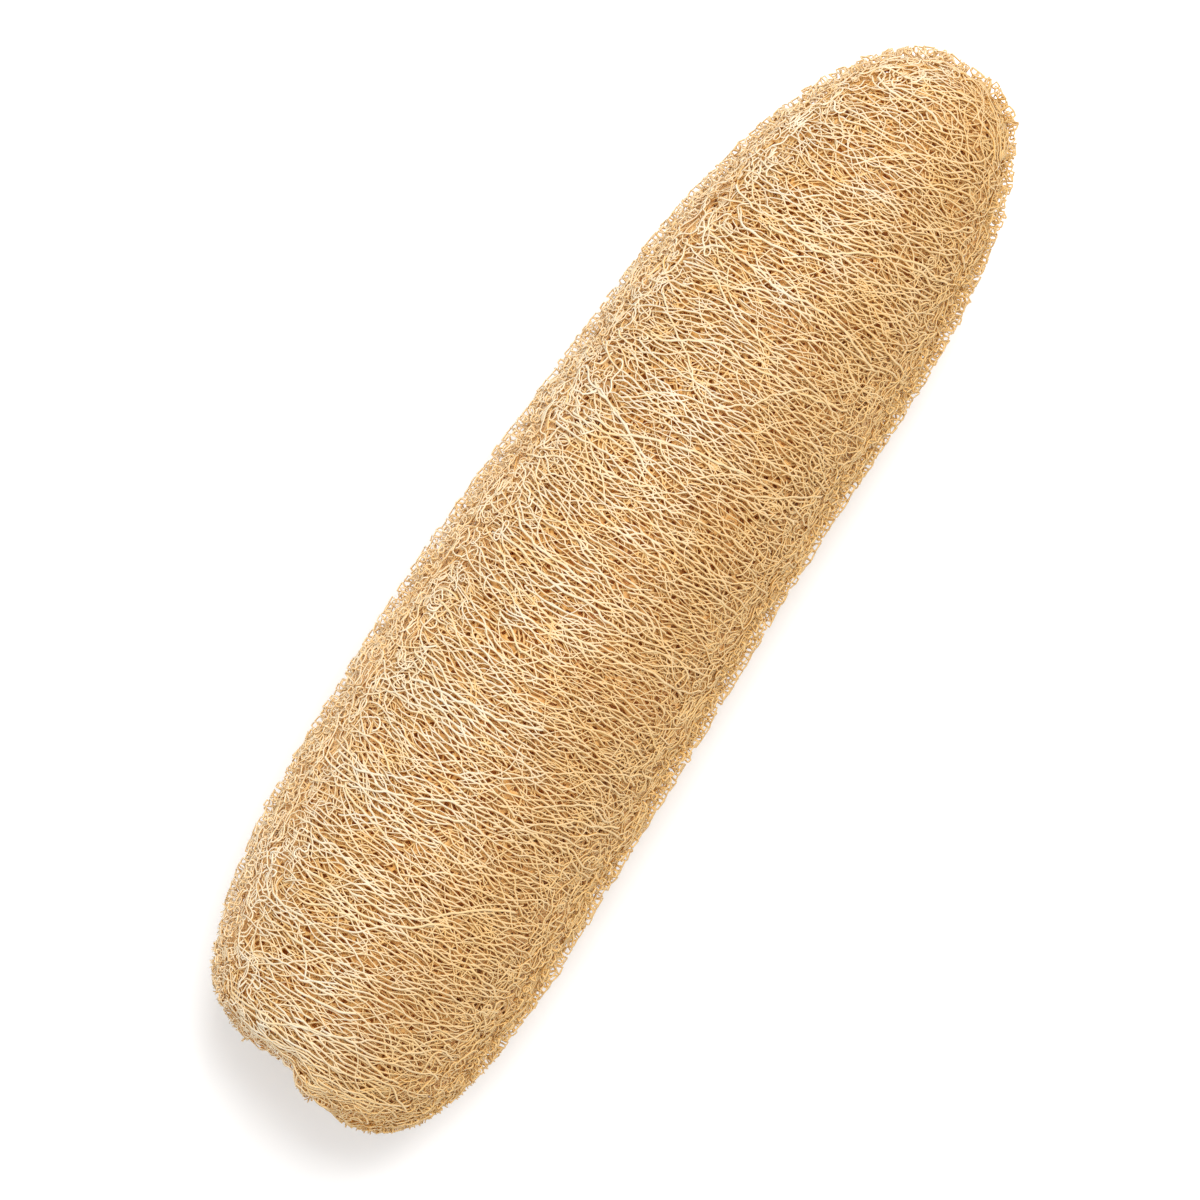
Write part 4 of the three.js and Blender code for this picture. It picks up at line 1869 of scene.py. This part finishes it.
@dataclass
class Loofah:
    """The whole sponge: the finishes of its fibres, their kinds and the layers that they lie in."""

    body: SpongeBody = field(default_factory=SpongeBody)
    pale: FibreFinish = FibreFinish("pale_fibre", pale=(0.74, 0.70, 0.59), brown=(0.80, 0.59, 0.31))
    # Painted shade: the lower fibres' finish is darker and more saturated than the top one, for the shade
    # under the fibres above.
    under: FibreFinish = FibreFinish(
        "under_fibre_painted_shade", pale=(0.77, 0.58, 0.32), brown=(0.72, 0.47, 0.19), flank_painted_light=0.6, mottle=0.3
    )
    # Painted shade: the web's finish is darker still than the lower fibres' one.
    deep: FibreFinish = FibreFinish(
        "deep_fibre_painted_shade", pale=(0.83, 0.53, 0.19), brown=(0.70, 0.35, 0.075), warm_shade_share=0.2,
        flank_painted_light=0.7, mottle=0.9,
    )
    # Painted shade: the inner surface's finish is the darkest, for the shade deep inside the sponge.
    inner: FibreFinish = FibreFinish(
        "inner_fibre_painted_shade", pale=(0.78, 0.31, 0.045), brown=(0.60, 0.22, 0.03), warm_shade_share=0.2,
        flank_painted_light=0.5,
    )
    # Painted light: the edge finish is paler than the top one, where the loops along the edges catch the
    # light. It has less painted shade on its sides and more towards -Y.
    edge: FibreFinish = FibreFinish(
        "edge_fibre_painted_light", pale=(0.83, 0.77, 0.63), brown=(0.83, 0.62, 0.35), warm_shade_share=0.92,
        side_shade_share=0.55,
    )
    main_fibre: FibreKind = FibreKind(
        spacing=1.1 * MM, length=(14 * MM, 60 * MM), lean=0.13, radius=0.3 * MM, depth=(0.0, 0.6 * MM),
        tint=(0.0, 0.5), zone_edge=(0.45, 0.75), wander=0.17,
    )
    thin_fibre: FibreKind = FibreKind(
        spacing=1.15 * MM, length=(8 * MM, 36 * MM), lean=0.28, radius=0.22 * MM,
        depth=(0.2 * MM, 1.1 * MM), tint=(0.0, 0.5), zone_edge=(0.45, 0.75), wander=0.25,
    )
    cross_fibre: FibreKind = FibreKind(
        spacing=4.5 * MM, length=(4 * MM, 10 * MM), lean=0.8, radius=0.19 * MM,
        depth=(0.2 * MM, 0.9 * MM), tint=(0.2, 0.7), wander=0.25,
    )
    lower_fibre: FibreKind = FibreKind(
        spacing=0.8 * MM, length=(8 * MM, 30 * MM), lean=0.75, radius=0.27 * MM,
        depth=(1.0 * MM, 1.7 * MM), zone_edge=(0.2, 0.6), wander=0.25,
    )
    curly_fibre: FibreKind = FibreKind(
        spacing=0.86 * MM, length=(8 * MM, 26 * MM), lean=3.0, radius=0.23 * MM,
        depth=(0.1 * MM, 1.0 * MM), tint=(0.0, 0.5), zone=Zone.FLANKS, zone_edge=(0.3, 0.65), curl=0.65,
    )
    web: Weave = Weave(
        cell_area=4.6 * MM * MM, stretch=1.5, tip_stretch=1.1, flank_share=0.7, uneven=0.3
    )

    def layers(self) -> list[FibreLayer | WebSheet | EdgeLace | LooseEnds | InnerSurface]:
        """Sets out the sponge's layers.

        Returns:
            The layers in the order in which they are made.
        """
        body, tree, edge = self.body, strand_tree(), self.edge.build()
        top_kinds = (self.main_fibre, self.thin_fibre, self.cross_fibre)
        return [
            FibreLayer("top_fibres", body, top_kinds, self.pale.build(), tree, seed=11, stars=18),
            FibreLayer(
                "lower_fibres", body, (self.lower_fibre,), self.under.build(), tree, seed=12,
                depth_shade=0.3, step=1.9 * MM, parts=1,
            ),
            FibreLayer(
                "flank_fibres", body, (self.curly_fibre,), edge, tree, seed=14, point_step=0.7 * MM,
                apart=1.3 * MM, apart_rounds=3, cling=0.55 * MM, cling_rounds=4, tension=0.06,
                depth_shade=0.35, step=0.98 * MM, low_step=2.2 * MM,
            ),
            WebSheet("web_sheet", body, self.web, self.deep.build(), seed=13),
            EdgeLace(body, edge, tree),
            LooseEnds(body, edge, tree),
            InnerSurface(body, self.inner.build()),
        ]

    def build(self) -> list[bpy.types.Object]:
        """Makes the sponge.

        Returns:
            Its objects, each riding on the sponge's one body.
        """
        pieces = [piece for layer in self.layers() for piece in layer.build()]
        for piece in pieces:
            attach(piece, BODY)
            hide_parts(NODE)
        return pieces


def report(pieces: list[bpy.types.Object]) -> None:
    """Logs how many triangles each piece has.

    Args:
        pieces: The sponge's objects.
    """
    total = 0
    for piece in pieces:
        triangles = sum(len(p.vertices) - 2 for p in piece.data.polygons)
        total += triangles
        LOG.info("%s: %d triangles", piece.name, triangles)
    LOG.info("all pieces: %d triangles", total)


def main() -> None:
    """Builds the sponge and its surroundings."""
    logging.basicConfig(level=logging.INFO, format="%(name)s %(message)s", stream=sys.stdout)
    report(Loofah().build())
    Studio().build()


if __name__ == "__main__":
    main()
